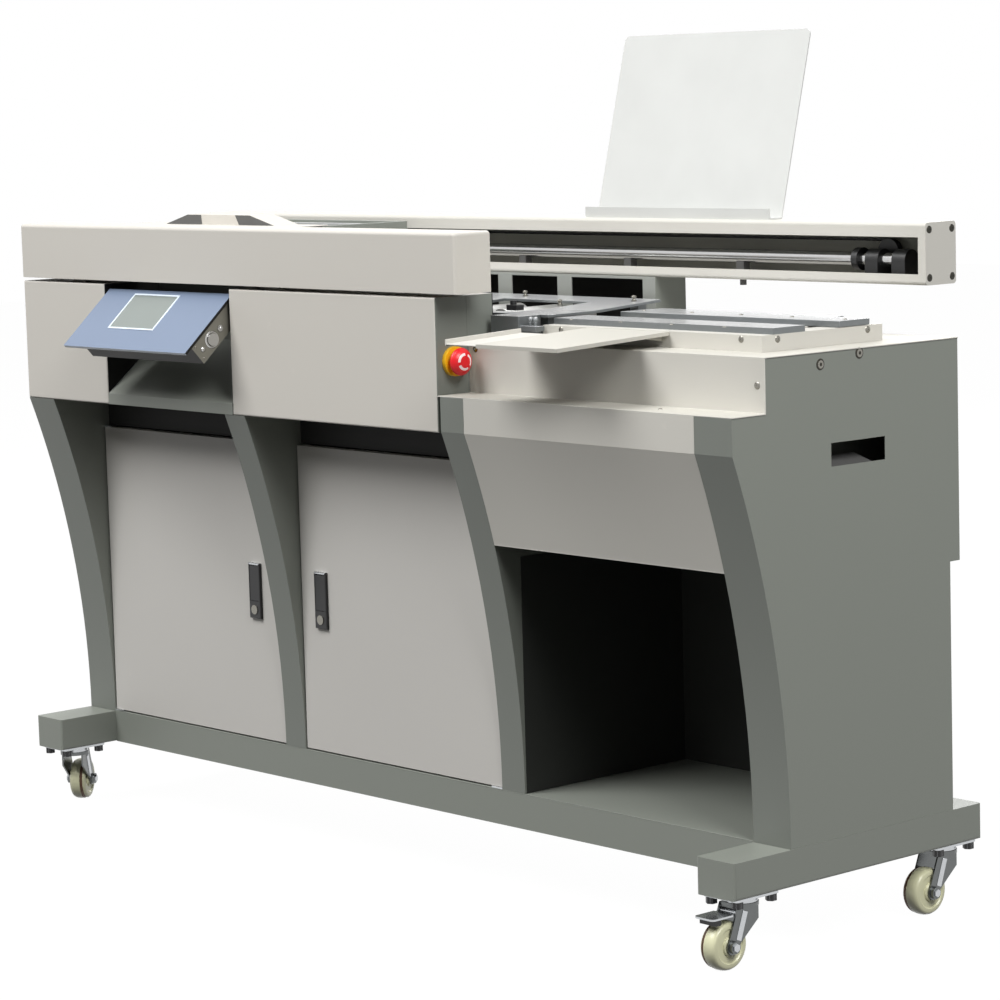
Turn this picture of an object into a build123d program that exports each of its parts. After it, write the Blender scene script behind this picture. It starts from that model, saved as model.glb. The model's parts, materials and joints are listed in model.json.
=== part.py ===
from build123d import *
import math
import os

# Floor-standing perfect binding machine.
# Lengths are millimetres. X runs from the left end to the right end, Y from the front to the back,
# Z upwards from the floor. The pieces are drawn from the left, front, lower corner of the feet,
# and are moved at the end so that the origin is under the middle of the whole machine.

# Overall sizes
length = 1520.0
foot_length = 467.0
foot_width = 66.0
foot_height = 48.0
foot_round = 4.0
caster_height = 93.0
sheet = 1.5
rail_depth = 40.0
tube_wall = 2.5
seat_gap = 0.3
run_gap = 0.05
overrun = 5.0

# Heights and depths of the cabinet
face_y = 12.0
rail_y = 103.0
rear_y = 412.0
rear_ledge = 19.0
ledge_drop = 291.0
casing_drop = 119.0
kink_drop = 117.0
shelf_drop = 69.0
deck_z = 760.0
riser_y = 70.0
header_y = 114.0
casing_rise = 61.5
fold_round = 2.5

# Vent slots behind the left cupboard
vent_x = 150.0
vent_length = 120.0
vent_z = 180.0
vent_pitch = 12.0
vent_height = 4.0
vent_count = 8

# Upright walls and dividers
divider_width = 46.5
left_divider_x = 500.0
right_divider_x = 978.0
casing_end_x = 973.0

# Hand slot in the right end wall
slot_y = 188.5
slot_length = 100.0
slot_drop = 145.5
slot_height = 29.5

# Cupboard doors
door_y = 105.0
door_thickness = 18.0
door_bottom_z = 145.0
door_top_drop = 51.0
door_side_gap = 2.0
door_hinge_gap = 12.0
door_hinge_depth = 5.0
hinge_pin_radius = 3.0
hinge_pin_length = 12.0
hinge_tab_width = 22.0
hinge_tab_depth = 14.0

# Door locks
lock_width = 26.0
lock_height = 83.0
lock_depth = 5.0
lock_rim = 2.6
lock_box_depth = 12.0
lock_inset_left = 45.0
lock_inset_right = 34.0
lock_bottom_z = 326.0
lock_lever_length = 54.0
lock_lever_thickness = 3.0
lock_pin_radius = 1.2
lock_cylinder_radius = 7.0
lock_cylinder_rise = 1.2
lock_round = 1.5

# Front covers and console recess
left_cover_end_x = 214.0
right_cover_start_x = 521.0
recess_floor_rise = 16.0
recess_tilt = 38.7

# Head cover
head_end_x = 1019.0
head_front_y = 9.5
head_depth = 65.5
head_bottom_rise = 67.0
head_top_rise = 148.5
head_round = 5.0
head_leg_width = 30.0
head_leg_thickness = 3.0
head_leg_shares = (0.09, 0.56, 0.86)

# Rear rail beam
beam_front_y = 371.0
beam_depth = 59.0
beam_rise = 69.5
beam_height = 80.5
beam_sheet = 2.0
beam_round = 5.0
beam_band_low = 14.0
beam_band_high = 19.0
beam_end_band = 14.0

# Guide rod and its fittings
rod_radius = 9.0
rod_y = 398.0
rod_rise = 30.5
rod_start_x = 60.0
rod_end_x = 1455.0
post_width = 14.0
post_depth = 12.0
post_pitch = 220.0
post_first_x = 69.0
post_count = 6
post_bolt_radius = 4.5
post_bolt_height = 9.0
collar_x = 1379.0
collar_width = 10.0
collar_radius = 15.0
bracket_x = 1403.0
bracket_width = 22.0
bracket_radius = 14.0
holder_width = 23.0
holder_overlap = 6.0

# Carriage drive belt
belt_y = 420.0
belt_width = 8.0
belt_thickness = 1.6
belt_gap = 0.1
pulley_radius = 16.0
pulley_rim = 2.0
pulley_x = 1417.0
pulley_rise = 38.5
pulley_bore = 4.0
drive_pulley_x = 40.0
drive_shaft_length = 16.0

# Rear pedestal under the beam
pedestal_end_x = 1025.0
pedestal_sill = 4.0
pedestal_window_starts = (24.0, 290.0, 551.0, 728.0, 855.0)
pedestal_window_ends = (240.0, 500.0, 698.0, 825.0, 1000.0)

# Left end drive housing
drive_housing_end_x = 62.0
drive_housing_rise = 50.5
drive_housing_round = 6.0

# Carriage and clamp
carriage_start_x = 95.0
carriage_length = 422.0
jaw_front_y = 202.0
jaw_opening = 64.0
jaw_thickness = 10.0
jaw_bottom_rise = 52.0
jaw_top_rise = 142.5
frame_bottom_rise = 4.5
carriage_side = 10.0
carriage_back_y = 344.0
carriage_back_thickness = 10.0
clamp_bar_radius = 8.0
clamp_bar_inset = 60.0
clamp_bar_rise = 32.5
bushing_length = 50.0
bushing_inset_left = 28.0
bushing_inset_right = 238.0
bushing_radius = 16.0
bushing_mouth = 13.6
tongue_width = 20.0
bushing_tongue_start = 10.0
tongue_gap = 0.7
tongue_height = 5.4
arm_height = 26.0
push_rod_radius = 5.0
push_rod_rise = 51.5
push_rod_end_y = 414.0
clamp_boss_length = 24.0
clamp_boss_radius = 14.0
jaw_side_gap = 1.0
carriage_cover_front_y = 106.0
carriage_lip = 26.0
hump_height = 15.0
hump_front_y = 156.0
hump_depth = 44.0
hump_start_share = 0.2
hump_end_share = 0.84
hump_slope_share = 0.14

# Right deck, nipping station
bay_panel_drop = 153.0
bay_return = 14.0
nip_start_x = 1064.0
nip_end_x = 1465.0
nip_base_front_y = 123.0
nip_base_rear_y = 347.0
nip_base_height = 21.0
nip_sheet = 2.0
nip_plate_thickness = 8.0
nip_jaw_gap = 0.6
nip_front_depth = 59.0
nip_jaw_depth = 57.0
nip_jaw_travel = 58.0
nip_bar_depth = 20.0
nip_bar_gap = 2.0
nip_bar_inset = 65.0
nip_rod_radius = 4.0
nip_rod_inset = 46.0
nip_rod_drop = 10.0
nip_lug_width = 16.0
nip_lug_depth = 24.0
nip_lug_drop = 15.5
nip_slot_gap = 1.0
nip_table_inset = 70.0
nip_table_thickness = 5.0
nip_table_lift = 5.0
nip_stem_radius = 8.0
nip_stem_length = 42.0
nip_stem_inset = 60.0
nip_guide_radius = 14.0
nip_guide_length = 26.0
nip_cross_width = 18.0
nip_cross_height = 4.0
nip_column_radius = 10.0
nip_column_inset = 25.0
nip_column_length = 120.0
nip_bush_wall = 3.0
nip_bush_length = 40.0
nip_hole_gap = 1.5
nip_drive_width = 40.0
nip_drive_height = 34.0
nip_drive_drop = 32.0
nip_hanger = 3.0

# Processing table with the milling and gluing openings
table_start_x = 560.0
table_end_x = 1055.0
table_front_y = 140.0
table_bend_y = 225.0
table_rear_y = 352.0
table_height = 33.0
table_rear_rise = 7.5
table_thickness = 4.0
table_leg_width = 16.0
table_leg_inset = 14.0
table_rail_start_x = 984.0
table_rail_end_x = 1040.0
table_rail_front_y = 101.0
table_rail_depth = 38.7
table_rail_rise = 11.0
table_rail_foot = 10.0
table_shelf_length = 30.0
table_shelf_inset = 3.0
table_shelf_depth = 16.0
table_shelf_drop = 13.0
table_shelf_height = 7.0
knob_radius = 4.2
knob_neck_radius = 2.0
knob_neck = 6.0
knob_pitch = 9.2
knob_count = 2
knob_start_share = 0.4

# Milling unit
mill_x = 655.0
mill_y = 234.0
mill_radius = 62.0
mill_disc_thickness = 8.0
mill_opening_gap = 6.0
mill_tooth_count = 12
mill_tooth_width = 7.0
mill_tooth_length = 10.0
mill_tooth_rise = 4.0
mill_rise = 1.0
mill_shaft_radius = 9.0
mill_motor_radius = 48.0
mill_motor_length = 150.0
mill_motor_drop = 18.0
mill_collar_radius = 22.0
mill_hub_radius = 20.0
mill_hub_height = 5.0
mill_tooth_chamfer = 1.0
mill_shaft_depth = 12.0

# Gluing unit
glue_start_x = 780.0
glue_length = 190.0
glue_front_y = 160.0
glue_depth = 150.0
glue_bottom_drop = 54.0
glue_wall = 5.0
glue_flange = 12.0
roller_radius = 25.0
roller_length = 104.0
roller_rise = 0.8
roller_pitch = 76.0
roller_shaft_radius = 6.0
roller_shaft_front = 2.0
glue_rim_rise = 26.0
glue_flange_height = 3.0
chain_case_length = 104.0
chain_case_depth = 14.0
chain_case_height = 22.0
chain_case_wall = 4.0

# Console
console_tilt = 42.0
console_left_x = 216.5
console_right_x = 518.5
console_drop = 7.5
console_top_y = 20.6
console_length = 118.0
console_plate_thickness = 4.0
console_arm_gap = 1.0
console_box_left_x = 240.0
console_box_right_x = 515.0
console_box_start = 2.0
console_box_end = 103.0
console_box_depth = 33.0
console_pin_radius = 2.5
console_pin_along = 8.0
console_pin_below = 10.0
console_arm_width = 3.5
console_arm_height = 9.0
console_button_along = 69.0
console_button_below = 22.6
console_button_radius = 9.0
console_button_rise = 3.0
console_button_travel = 1.8
console_button_depth = 8.0
console_corner = 1.5

# Emergency stop
stop_y = 42.0
stop_drop = 25.0
stop_base_radius = 20.0
stop_base_height = 7.0
stop_cap_radius = 18.5
stop_cap_height = 13.0
stop_cap_flat = 4.0
stop_cap_edge_share = 0.25
stop_cap_crown_share = 0.125
stop_cap_gap = 5.0
stop_stem_radius = 8.0
stop_neck_radius = 11.0
stop_block_size = 30.0
stop_block_depth = 40.0
stop_neck_length = 24.0
stop_stem_depth = 16.0
stop_travel = 4.0
stop_hole_gap = 0.25

# Cover tray
tray_left_x = 1150.0
tray_right_x = 1302.0
tray_front_y = -73.0
tray_front_drop = 8.7
tray_rear_drop = 0.6
tray_hem = 5.0
tray_end_gap = 0.1
tray_return = 6.0
tray_return_sheet = 1.0
guide_left_x = 1088.0
guide_right_x = 1240.0
guide_depth = 132.0
guide_inset = 2.0
guide_lip = 4.0
tray_rib_inset = 14.0
tray_rib_depth = 60.0
tray_rib_height = 12.0

# Book rest on the beam
rest_left_x = 876.0
rest_right_x = 1235.0
rest_lip_y = 382.0
rest_lip_height = 15.0
rest_bend_y = 405.0
rest_top_y = 471.5
rest_height = 253.0
rest_round = 9.0
rest_sheet = 2.0

# Control gear in the left cupboard
gear_plate_x = 130.0
gear_plate_width = 300.0
gear_plate_z = 285.0
gear_plate_height = 170.0
gear_plate_gap = 6.0
gear_spacer_radius = 6.0
gear_spacer_inset = 14.0
gear_box_x = 146.0
gear_box_width = 120.0
gear_box_z = 302.0
gear_box_height = 136.0
gear_box_depth = 62.0
gear_row_x = 286.0
gear_row_width = 24.0
gear_row_pitch = 28.0
gear_row_count = 4
gear_row_depth = 44.0
gear_row_height = 80.0
gland_x = 330.0
gland_z = 220.0
gland_radius = 11.0
gland_length = 16.0
gland_bore = 4.0
gland_flange_radius = 15.0
gland_flange = 3.0

# Casters
caster_side = 33.0
caster_end = 45.0
caster_trail = 33.0
wheel_radius = 31.5
wheel_width = 25.0
wheel_round = 2.5
wheel_dish_radius = 22.0
wheel_dish = 1.5
wheel_bore = 6.0
wheel_hub_radius = 12.0
wheel_hub_rise = 1.5
caster_plate_length = 76.0
caster_plate_width = 60.0
caster_plate_thickness = 3.0
race_radius = 21.0
race_height = 7.0
race_gap = 0.4
fork_sheet = 2.5
fork_gap = 0.5
fork_crown_radius = 22.0
fork_crown = 5.0
fork_front = 22.0
fork_back = 13.0
fork_heel_drop = 22.0
fork_ear = 10.0
kingpin_radius = 5.0
kingpin_length = 5.0
axle_head_radius = 8.0
axle_head = 5.0
mount_bolt_radius = 6.5
mount_bolt_height = 9.0
bolt_space_x = 45.0
bolt_space_y = 60.0
left_front_heading = 128.0
left_rear_heading = 250.0
right_heading = -90.0
pedal_pin_x = 20.0
pedal_pin_z = 71.0
pedal_pin_radius = 2.5
pedal_boss_radius = 4.5
pedal_side_gap = 0.5
pedal_length = 48.0
pedal_width = 34.0
pedal_thickness = 2.4
pedal_wide_start = 12.0
pedal_lip = 6.0
shoe_start = 30.0
shoe_length = 10.0
shoe_drop = 7.8

# Heights worked out from the deck
cover_top_z = deck_z + casing_rise
cover_bottom_z = deck_z - casing_drop
shelf_z = deck_z - shelf_drop
kink_z = deck_z - kink_drop
deck_fold_bottom_z = kink_z
ledge_z = deck_z - ledge_drop
slot_z = deck_z - slot_drop
door_top_z = cover_bottom_z - door_top_drop
recess_floor_z = cover_bottom_z + recess_floor_rise
bay_panel_bottom_z = kink_z - bay_panel_drop
head_bottom_z = deck_z + head_bottom_rise
head_top_z = deck_z + head_top_rise
beam_bottom_z = deck_z + beam_rise
rod_z = beam_bottom_z + rod_rise
pulley_z = beam_bottom_z + pulley_rise
drive_housing_top_z = beam_bottom_z + drive_housing_rise
jaw_bottom_z = deck_z + jaw_bottom_rise
jaw_top_z = deck_z + jaw_top_rise
frame_bottom_z = beam_bottom_z + frame_bottom_rise
clamp_bar_z = beam_bottom_z + clamp_bar_rise
push_rod_z = beam_bottom_z + push_rod_rise
nip_base_top_z = deck_z + nip_base_height
nip_rod_z = nip_base_top_z - nip_rod_drop
nip_lug_bottom_z = nip_base_top_z - nip_lug_drop
table_top_z = deck_z + table_height
table_rail_bottom_z = deck_z + table_rail_rise
mill_motor_top_z = deck_z - mill_motor_drop
glue_bottom_z = deck_z - glue_bottom_drop
glue_rim_z = deck_z + glue_rim_rise
console_top_z = cover_top_z - console_drop
stop_z = deck_z - stop_drop
tray_front_z = nip_base_top_z - tray_front_drop
tray_rear_z = nip_base_top_z - tray_rear_drop

# Sizes worked out from those above
base_top_z = caster_height + foot_height
floor_top_z = base_top_z + sheet
rear_top_y = rear_y + rear_ledge
beam_rear_y = beam_front_y + beam_depth
beam_top_z = beam_bottom_z + beam_height
rest_top_z = beam_top_z + rest_height
fin_drop = rail_y - face_y
fin_rise = kink_z - base_top_z
fin_radius = (fin_rise ** 2 + fin_drop ** 2) / (fin_drop + fin_drop)


def block(x0, x1, y0, y1, z0, z1):
    return Pos((x0 + x1) / 2, (y0 + y1) / 2, (z0 + z1) / 2) * Box(x1 - x0, y1 - y0, z1 - z0)


def rod_x(x0, x1, y, z, radius):
    return Pos((x0 + x1) / 2, y, z) * Rot(0, 90, 0) * Cylinder(radius, x1 - x0)


def rod_y_way(x, y0, y1, z, radius):
    return Pos(x, (y0 + y1) / 2, z) * Rot(90, 0, 0) * Cylinder(radius, y1 - y0)


def rod_z_way(x, y, z0, z1, radius):
    return Pos(x, y, (z0 + z1) / 2) * Cylinder(radius, z1 - z0)


def outline(points):
    return make_face(Polyline(*points, close=True))


def along_x(face, x0, x1):
    # A face drawn with Y across and Z up, extruded from x0 to x1
    return extrude(Plane.YZ.offset(x0) * face, amount=x1 - x0)


def group(items):
    return Compound([solid for item in items for solid in item.solids()])


def fin_y(z):
    # Front surface of the uprights: one large cove from the plinth up to the kink
    return rail_y - fin_radius + math.sqrt(fin_radius ** 2 - (z - base_top_z) ** 2)


def fin_arc(z0, z1):
    middle = (z0 + z1) / 2
    return ThreePointArc((fin_y(z0), z0), (fin_y(middle), middle), (fin_y(z1), z1))


def upright_face(bottom_z, top_z, notch_y, rear_inset):
    # Side view of an end wall or divider: coved front, notched top, stepped back
    arc_top = min(top_z, kink_z)
    points = [(fin_y(arc_top), arc_top)]
    if top_z > kink_z:
        points.append((fin_y(kink_z), top_z))
    points.append((notch_y, top_z))
    points.append((notch_y, deck_z - sheet))
    points.append((rear_top_y - rear_inset, deck_z - sheet))
    points.append((rear_top_y - rear_inset, ledge_z + rear_inset))
    points.append((rear_y - rear_inset, ledge_z + rear_inset))
    points.append((rear_y - rear_inset, bottom_z))
    points.append((fin_y(bottom_z), bottom_z))
    return make_face(fin_arc(bottom_z, arc_top).edges() + Polyline(*points).edges())


def upright(x0, x1, bottom_z, top_z, notch_y, rear_inset):
    # Folded sheet box, open underneath where it stands on the foot or the floor
    outside = upright_face(bottom_z, top_z, notch_y, rear_inset)
    lower = upright_face(bottom_z - sheet - overrun, top_z, notch_y, rear_inset)
    inside = offset(lower, amount=-sheet)
    return along_x(outside, x0, x1) - along_x(inside, x0 + sheet, x1 - sheet)


def left_end_wall():
    return upright(0, foot_width, base_top_z, cover_bottom_z - seat_gap, header_y + sheet, 0)


def right_end_wall():
    wall = upright(length - foot_width, length, base_top_z, shelf_z - sheet, riser_y + sheet, 0)
    slot = block(length - foot_width / 2, length + overrun, slot_y, slot_y + slot_length,
                 slot_z, slot_z + slot_height)
    return wall - slot


def divider_left():
    return upright(left_divider_x, left_divider_x + divider_width, floor_top_z,
                   cover_bottom_z - seat_gap, header_y + sheet, sheet)


def divider_right():
    return upright(right_divider_x, right_divider_x + divider_width, floor_top_z,
                   shelf_z - sheet, header_y + sheet, sheet)


def foot(x0):
    bar = block(x0, x0 + foot_width, 0, foot_length, caster_height, base_top_z)
    ends = bar.edges().filter_by(Axis.Z)
    under = bar.edges().filter_by(Axis.Y).group_by(Axis.Z)[0]
    return fillet(ends + under, foot_round)


def rail(y0):
    outer = block(foot_width, length - foot_width, y0, y0 + rail_depth, caster_height, base_top_z)
    inner = block(0, length, y0 + tube_wall, y0 + rail_depth - tube_wall,
                  caster_height + tube_wall, base_top_z - tube_wall)
    return outer - inner


def base_frame():
    return group([foot(0), foot(length - foot_width), rail(rail_y), rail(rear_y - rail_depth)])


def cabinet_floor():
    return block(foot_width, length - foot_width, rail_y, rear_y - sheet, base_top_z, floor_top_z)


def header_panel():
    bottom_z = door_top_z + door_bottom_z - floor_top_z
    back = header_y + sheet
    panel = block(0, casing_end_x, header_y, back, cover_bottom_z, cover_top_z)
    left_skirt = block(foot_width, left_divider_x, header_y, back, bottom_z, cover_bottom_z)
    right_skirt = block(left_divider_x + divider_width, right_divider_x, header_y, back,
                        bottom_z, cover_bottom_z)
    return panel + left_skirt + right_skirt


def front_cover(x0, x1):
    case = block(x0, x1, face_y, header_y, cover_bottom_z, cover_top_z)
    case = fillet(case.faces().sort_by(Axis.Y)[0].edges(), fold_round)
    inside = block(x0 + sheet, x1 - sheet, face_y + sheet, header_y + overrun,
                   cover_bottom_z + sheet, cover_top_z - sheet)
    return case - inside


def stop_hole():
    return rod_x(casing_end_x - stop_block_depth, casing_end_x + overrun, stop_y, stop_z,
                 stop_neck_radius + stop_hole_gap)


def front_cover_right():
    return front_cover(right_cover_start_x, casing_end_x) - stop_hole()


def recess_z(y):
    # Height of the recess floor, which climbs from the lip to the back wall
    return recess_floor_z + (y - face_y) * math.tan(math.radians(recess_tilt))


def console_recess():
    # One bent sheet between the two front covers: lip, sloping floor and back wall
    back = header_y
    under = sheet / math.cos(math.radians(recess_tilt))
    points = [(face_y, cover_bottom_z), (face_y + sheet, cover_bottom_z)]
    points += [(face_y + sheet, recess_z(face_y + sheet) - under), (back, recess_z(back) - under)]
    points += [(back, cover_top_z), (back - sheet, cover_top_z)]
    points += [(back - sheet, recess_z(back - sheet)), (face_y, recess_floor_z)]
    return along_x(outline(points), left_cover_end_x, right_cover_start_x)


def head_cover():
    rear = head_front_y + head_depth
    case = block(0, head_end_x, head_front_y, rear, head_bottom_z, head_top_z)
    top = case.faces().sort_by(Axis.Z)[-1].edges()
    corners = case.edges().filter_by(Axis.Z)
    case = fillet(top + corners, head_round)
    cover = case - block(sheet, head_end_x - sheet, head_front_y + sheet, rear - sheet,
                         head_bottom_z - overrun, head_top_z - head_round)
    middle = head_front_y + head_depth / 2
    for share in head_leg_shares:
        x0 = head_end_x * share
        cover += block(x0, x0 + head_leg_width, middle, middle + head_leg_thickness,
                       cover_top_z, head_top_z - head_round)
    return cover


def rear_panel():
    points = [(rear_y, base_top_z), (rear_y, ledge_z), (rear_top_y, ledge_z)]
    points += [(rear_top_y, deck_z - sheet), (rear_top_y - sheet, deck_z - sheet)]
    points += [(rear_top_y - sheet, ledge_z + sheet), (rear_y - sheet, ledge_z + sheet)]
    points += [(rear_y - sheet, base_top_z)]
    panel = along_x(outline(points), foot_width, length - foot_width)
    for row in range(vent_count):
        z0 = vent_z + row * vent_pitch
        panel -= block(vent_x, vent_x + vent_length, rear_y - sheet - overrun, rear_y + overrun,
                       z0, z0 + vent_height)
    return panel - rod_y_way(gland_x, rear_y - sheet - overrun, rear_y + overrun, gland_z,
                             gland_radius - gland_flange)


def left_deck():
    plate = block(0, casing_end_x, header_y + sheet, rear_top_y, deck_z - sheet, deck_z)
    plate -= block(glue_start_x - seat_gap, glue_start_x + glue_length + seat_gap,
                   glue_front_y - seat_gap, glue_front_y + glue_depth + seat_gap,
                   deck_z - sheet - overrun, deck_z + overrun)
    return plate - rod_z_way(mill_x, mill_y, deck_z - sheet - overrun, deck_z + overrun,
                             mill_shaft_radius + nip_hole_gap)


def nip_middle_y():
    return jaw_front_y + jaw_opening / 2


def nip_column_places():
    return [nip_start_x + nip_column_inset, nip_end_x - nip_column_inset]


def nip_stem_places():
    edge = nip_table_inset + nip_stem_inset
    return [nip_start_x + edge, nip_end_x - edge]


def bay_panel():
    # Sheet that carries on from the fold and follows the cove of the uprights
    z0 = bay_panel_bottom_z
    z1 = deck_fold_bottom_z
    middle = (z0 + z1) / 2
    front = fin_arc(z0, z1)
    back = ThreePointArc((fin_y(z1) + sheet, z1), (fin_y(middle) + sheet, middle),
                         (fin_y(z0) + sheet, z0))
    top = Line((fin_y(z1), z1), (fin_y(z1) + sheet, z1))
    bottom = Line((fin_y(z0) + sheet, z0), (fin_y(z0), z0))
    return make_face(front.edges() + top.edges() + back.edges() + bottom.edges())


def deck_cover():
    left = right_divider_x + divider_width
    right = length - foot_width
    points = [(rear_top_y, deck_z), (riser_y, deck_z), (riser_y, shelf_z), (face_y, shelf_z)]
    points += [(face_y, shelf_z - sheet), (riser_y + sheet, shelf_z - sheet)]
    points += [(riser_y + sheet, deck_z - sheet), (rear_top_y, deck_z - sheet)]
    cover = along_x(outline(points), casing_end_x, length)
    cover += block(left, right, face_y, face_y + sheet, deck_fold_bottom_z, shelf_z - sheet)
    cover += along_x(bay_panel(), left, right)
    bottom_y = fin_y(bay_panel_bottom_z)
    cover += block(left, right, bottom_y, bottom_y + bay_return, bay_panel_bottom_z - sheet,
                   bay_panel_bottom_z)
    low = deck_z - sheet - overrun
    high = deck_z + overrun
    for x in nip_column_places():
        cover -= rod_z_way(x, nip_middle_y(), low, high, nip_column_radius + nip_hole_gap)
    for x in nip_stem_places():
        cover -= rod_z_way(x, nip_middle_y(), low, high, nip_guide_radius + nip_hole_gap)
    return cover


def nip_jaw_y():
    return jaw_front_y + jaw_opening


def nip_lug_places():
    return [nip_start_x + nip_rod_inset, nip_end_x - nip_rod_inset]


def nip_base():
    # Lifting base: open-bottomed box with a cross bar, two columns and two stem guides
    top = nip_base_top_z
    base = block(nip_start_x, nip_end_x, nip_base_front_y, nip_base_rear_y, deck_z, top)
    base -= block(nip_start_x + nip_sheet, nip_end_x - nip_sheet, nip_base_front_y + nip_sheet,
                  nip_base_rear_y - nip_sheet, deck_z - overrun, top - nip_sheet)
    base -= block(nip_start_x + nip_table_inset, nip_end_x - nip_table_inset,
                  jaw_front_y + nip_slot_gap / 2, nip_jaw_y() - nip_slot_gap / 2,
                  deck_z - overrun, top + overrun)
    middle = nip_middle_y()
    cross_top = deck_z + nip_cross_height
    base += block(nip_start_x + nip_sheet, nip_end_x - nip_sheet, middle - nip_cross_width / 2,
                  middle + nip_cross_width / 2, deck_z, cross_top)
    lug_y = nip_jaw_y() + nip_jaw_depth / 2
    for x in nip_lug_places():
        half = nip_lug_width / 2 + nip_slot_gap
        base -= block(x - half, x + half, lug_y - nip_lug_depth / 2 - nip_jaw_travel - nip_slot_gap,
                      lug_y + nip_lug_depth / 2 + nip_slot_gap, top - nip_sheet - seat_gap,
                      top + overrun)
    for x in nip_column_places():
        base += rod_z_way(x, middle, deck_z - nip_column_length, top - nip_sheet, nip_column_radius)
    for x in nip_stem_places():
        base += rod_z_way(x, middle, deck_z - nip_guide_length, deck_z, nip_guide_radius)
        base -= rod_z_way(x, middle, deck_z - nip_guide_length - overrun, cross_top + overrun,
                          nip_stem_radius + run_gap)
    return base


def nip_fixed_bars():
    # Fixed front nip plate, rear stop bar, and the two rods the moving plate runs on
    top = nip_base_top_z
    front = block(nip_start_x, nip_end_x, jaw_front_y - nip_front_depth, jaw_front_y,
                  top, top + nip_plate_thickness)
    bar_y = nip_jaw_y() + nip_jaw_depth + nip_bar_gap
    rear = block(nip_start_x, nip_end_x - nip_bar_inset, bar_y, bar_y + nip_bar_depth,
                 top, top + nip_plate_thickness)
    rods = []
    for x in nip_lug_places():
        rods.append(rod_y_way(x, nip_base_front_y + nip_sheet, nip_base_rear_y - nip_sheet,
                              nip_rod_z, nip_rod_radius))
    return group([front, rear] + rods)


def nip_jaw():
    bottom = nip_base_top_z + nip_jaw_gap
    y0 = nip_jaw_y()
    jaw = block(nip_start_x, nip_end_x, y0, y0 + nip_jaw_depth, bottom, bottom + nip_plate_thickness)
    middle = y0 + nip_jaw_depth / 2
    for x in nip_lug_places():
        jaw += block(x - nip_lug_width / 2, x + nip_lug_width / 2, middle - nip_lug_depth / 2,
                     middle + nip_lug_depth / 2, nip_lug_bottom_z, bottom)
        jaw -= rod_y_way(x, y0, y0 + nip_jaw_depth, nip_rod_z, nip_rod_radius + run_gap)
    return jaw


def nip_table():
    top = nip_base_top_z + nip_jaw_gap / 2 - nip_table_lift
    bottom = top - nip_table_thickness
    table = block(nip_start_x + nip_table_inset + nip_slot_gap,
                  nip_end_x - nip_table_inset - nip_slot_gap,
                  jaw_front_y + nip_slot_gap, nip_jaw_y() - nip_slot_gap, bottom, top)
    for x in nip_stem_places():
        table += rod_z_way(x, nip_middle_y(), bottom - nip_stem_length, bottom, nip_stem_radius)
    return table


def nip_guides():
    # Bushes that the lift columns slide in, hung under the deck with the closed lift drive
    under = deck_z - sheet
    parts = []
    for x in nip_column_places():
        bush = rod_z_way(x, nip_middle_y(), under - nip_bush_length, under,
                         nip_column_radius + nip_bush_wall)
        bush -= rod_z_way(x, nip_middle_y(), under - nip_bush_length - overrun, under + overrun,
                          nip_column_radius + run_gap)
        parts.append(bush)
    reach = nip_column_inset + nip_column_radius + nip_bush_wall + nip_hanger
    x0 = nip_start_x + reach
    x1 = nip_end_x - reach
    y0 = nip_middle_y() - nip_drive_width / 2
    y1 = y0 + nip_drive_width
    drive_top = under - nip_drive_drop
    drive = block(x0, x1, y0, y1, drive_top - nip_drive_height, drive_top)
    drive += block(x0, x0 + nip_hanger, y0, y1, drive_top, under)
    drive += block(x1 - nip_hanger, x1, y0, y1, drive_top, under)
    parts.append(drive)
    return group(parts)


def table_body(thickness):
    # Table top, level in front and climbing gently behind the bend, as thick as asked
    rear_top = table_top_z + table_rear_rise
    points = [(table_front_y, table_top_z), (table_bend_y, table_top_z), (table_rear_y, rear_top)]
    points += [(table_rear_y, rear_top - thickness), (table_bend_y, table_top_z - thickness)]
    points += [(table_front_y, table_top_z - thickness)]
    return along_x(outline(points), table_start_x, table_end_x)


def processing_table():
    bottom = table_top_z - table_thickness
    above = table_top_z + table_rear_rise + overrun
    plate = table_body(table_thickness)
    plate -= rod_z_way(mill_x, mill_y, bottom - overrun, above, mill_radius + mill_opening_gap)
    plate -= block(glue_start_x + glue_wall, glue_start_x + glue_length - glue_wall,
                   glue_front_y + glue_wall, glue_front_y + glue_depth - glue_wall,
                   bottom - overrun, above)
    low = table_front_y + table_leg_inset
    high = table_rear_y - table_leg_inset - table_leg_width
    left = table_start_x + table_leg_inset
    right = table_end_x - table_leg_inset - table_leg_width
    room = table_body(table_height + table_rear_rise)
    for x in (left, right):
        for y in (low, high):
            plate += block(x, x + table_leg_width, y, y + table_leg_width, deck_z, above) & room
    return plate


def table_rail():
    # Box rail beside the table, with a shelf that carries two ball knobs
    top = table_top_z
    y0 = table_rail_front_y
    y1 = y0 + table_rail_depth
    bar = block(table_rail_start_x, table_rail_end_x, y0, y1, table_rail_bottom_z, top)
    for x in (table_rail_start_x, table_rail_end_x - table_rail_foot):
        bar += block(x, x + table_rail_foot, y0, y1, deck_z, table_rail_bottom_z)
    shelf_top = top - table_shelf_drop
    y2 = y0 + table_shelf_inset
    bar += block(table_rail_end_x, table_rail_end_x + table_shelf_length, y2,
                 y2 + table_shelf_depth, shelf_top - table_shelf_height, shelf_top)
    for step in range(knob_count):
        x = table_rail_end_x + table_shelf_length * knob_start_share + step * knob_pitch
        y = y2 + table_shelf_depth / 2
        bar += rod_z_way(x, y, shelf_top, shelf_top + knob_neck, knob_neck_radius)
        bar += Pos(x, y, shelf_top + knob_neck + knob_radius / 2) * Sphere(knob_radius)
    return bar


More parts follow.
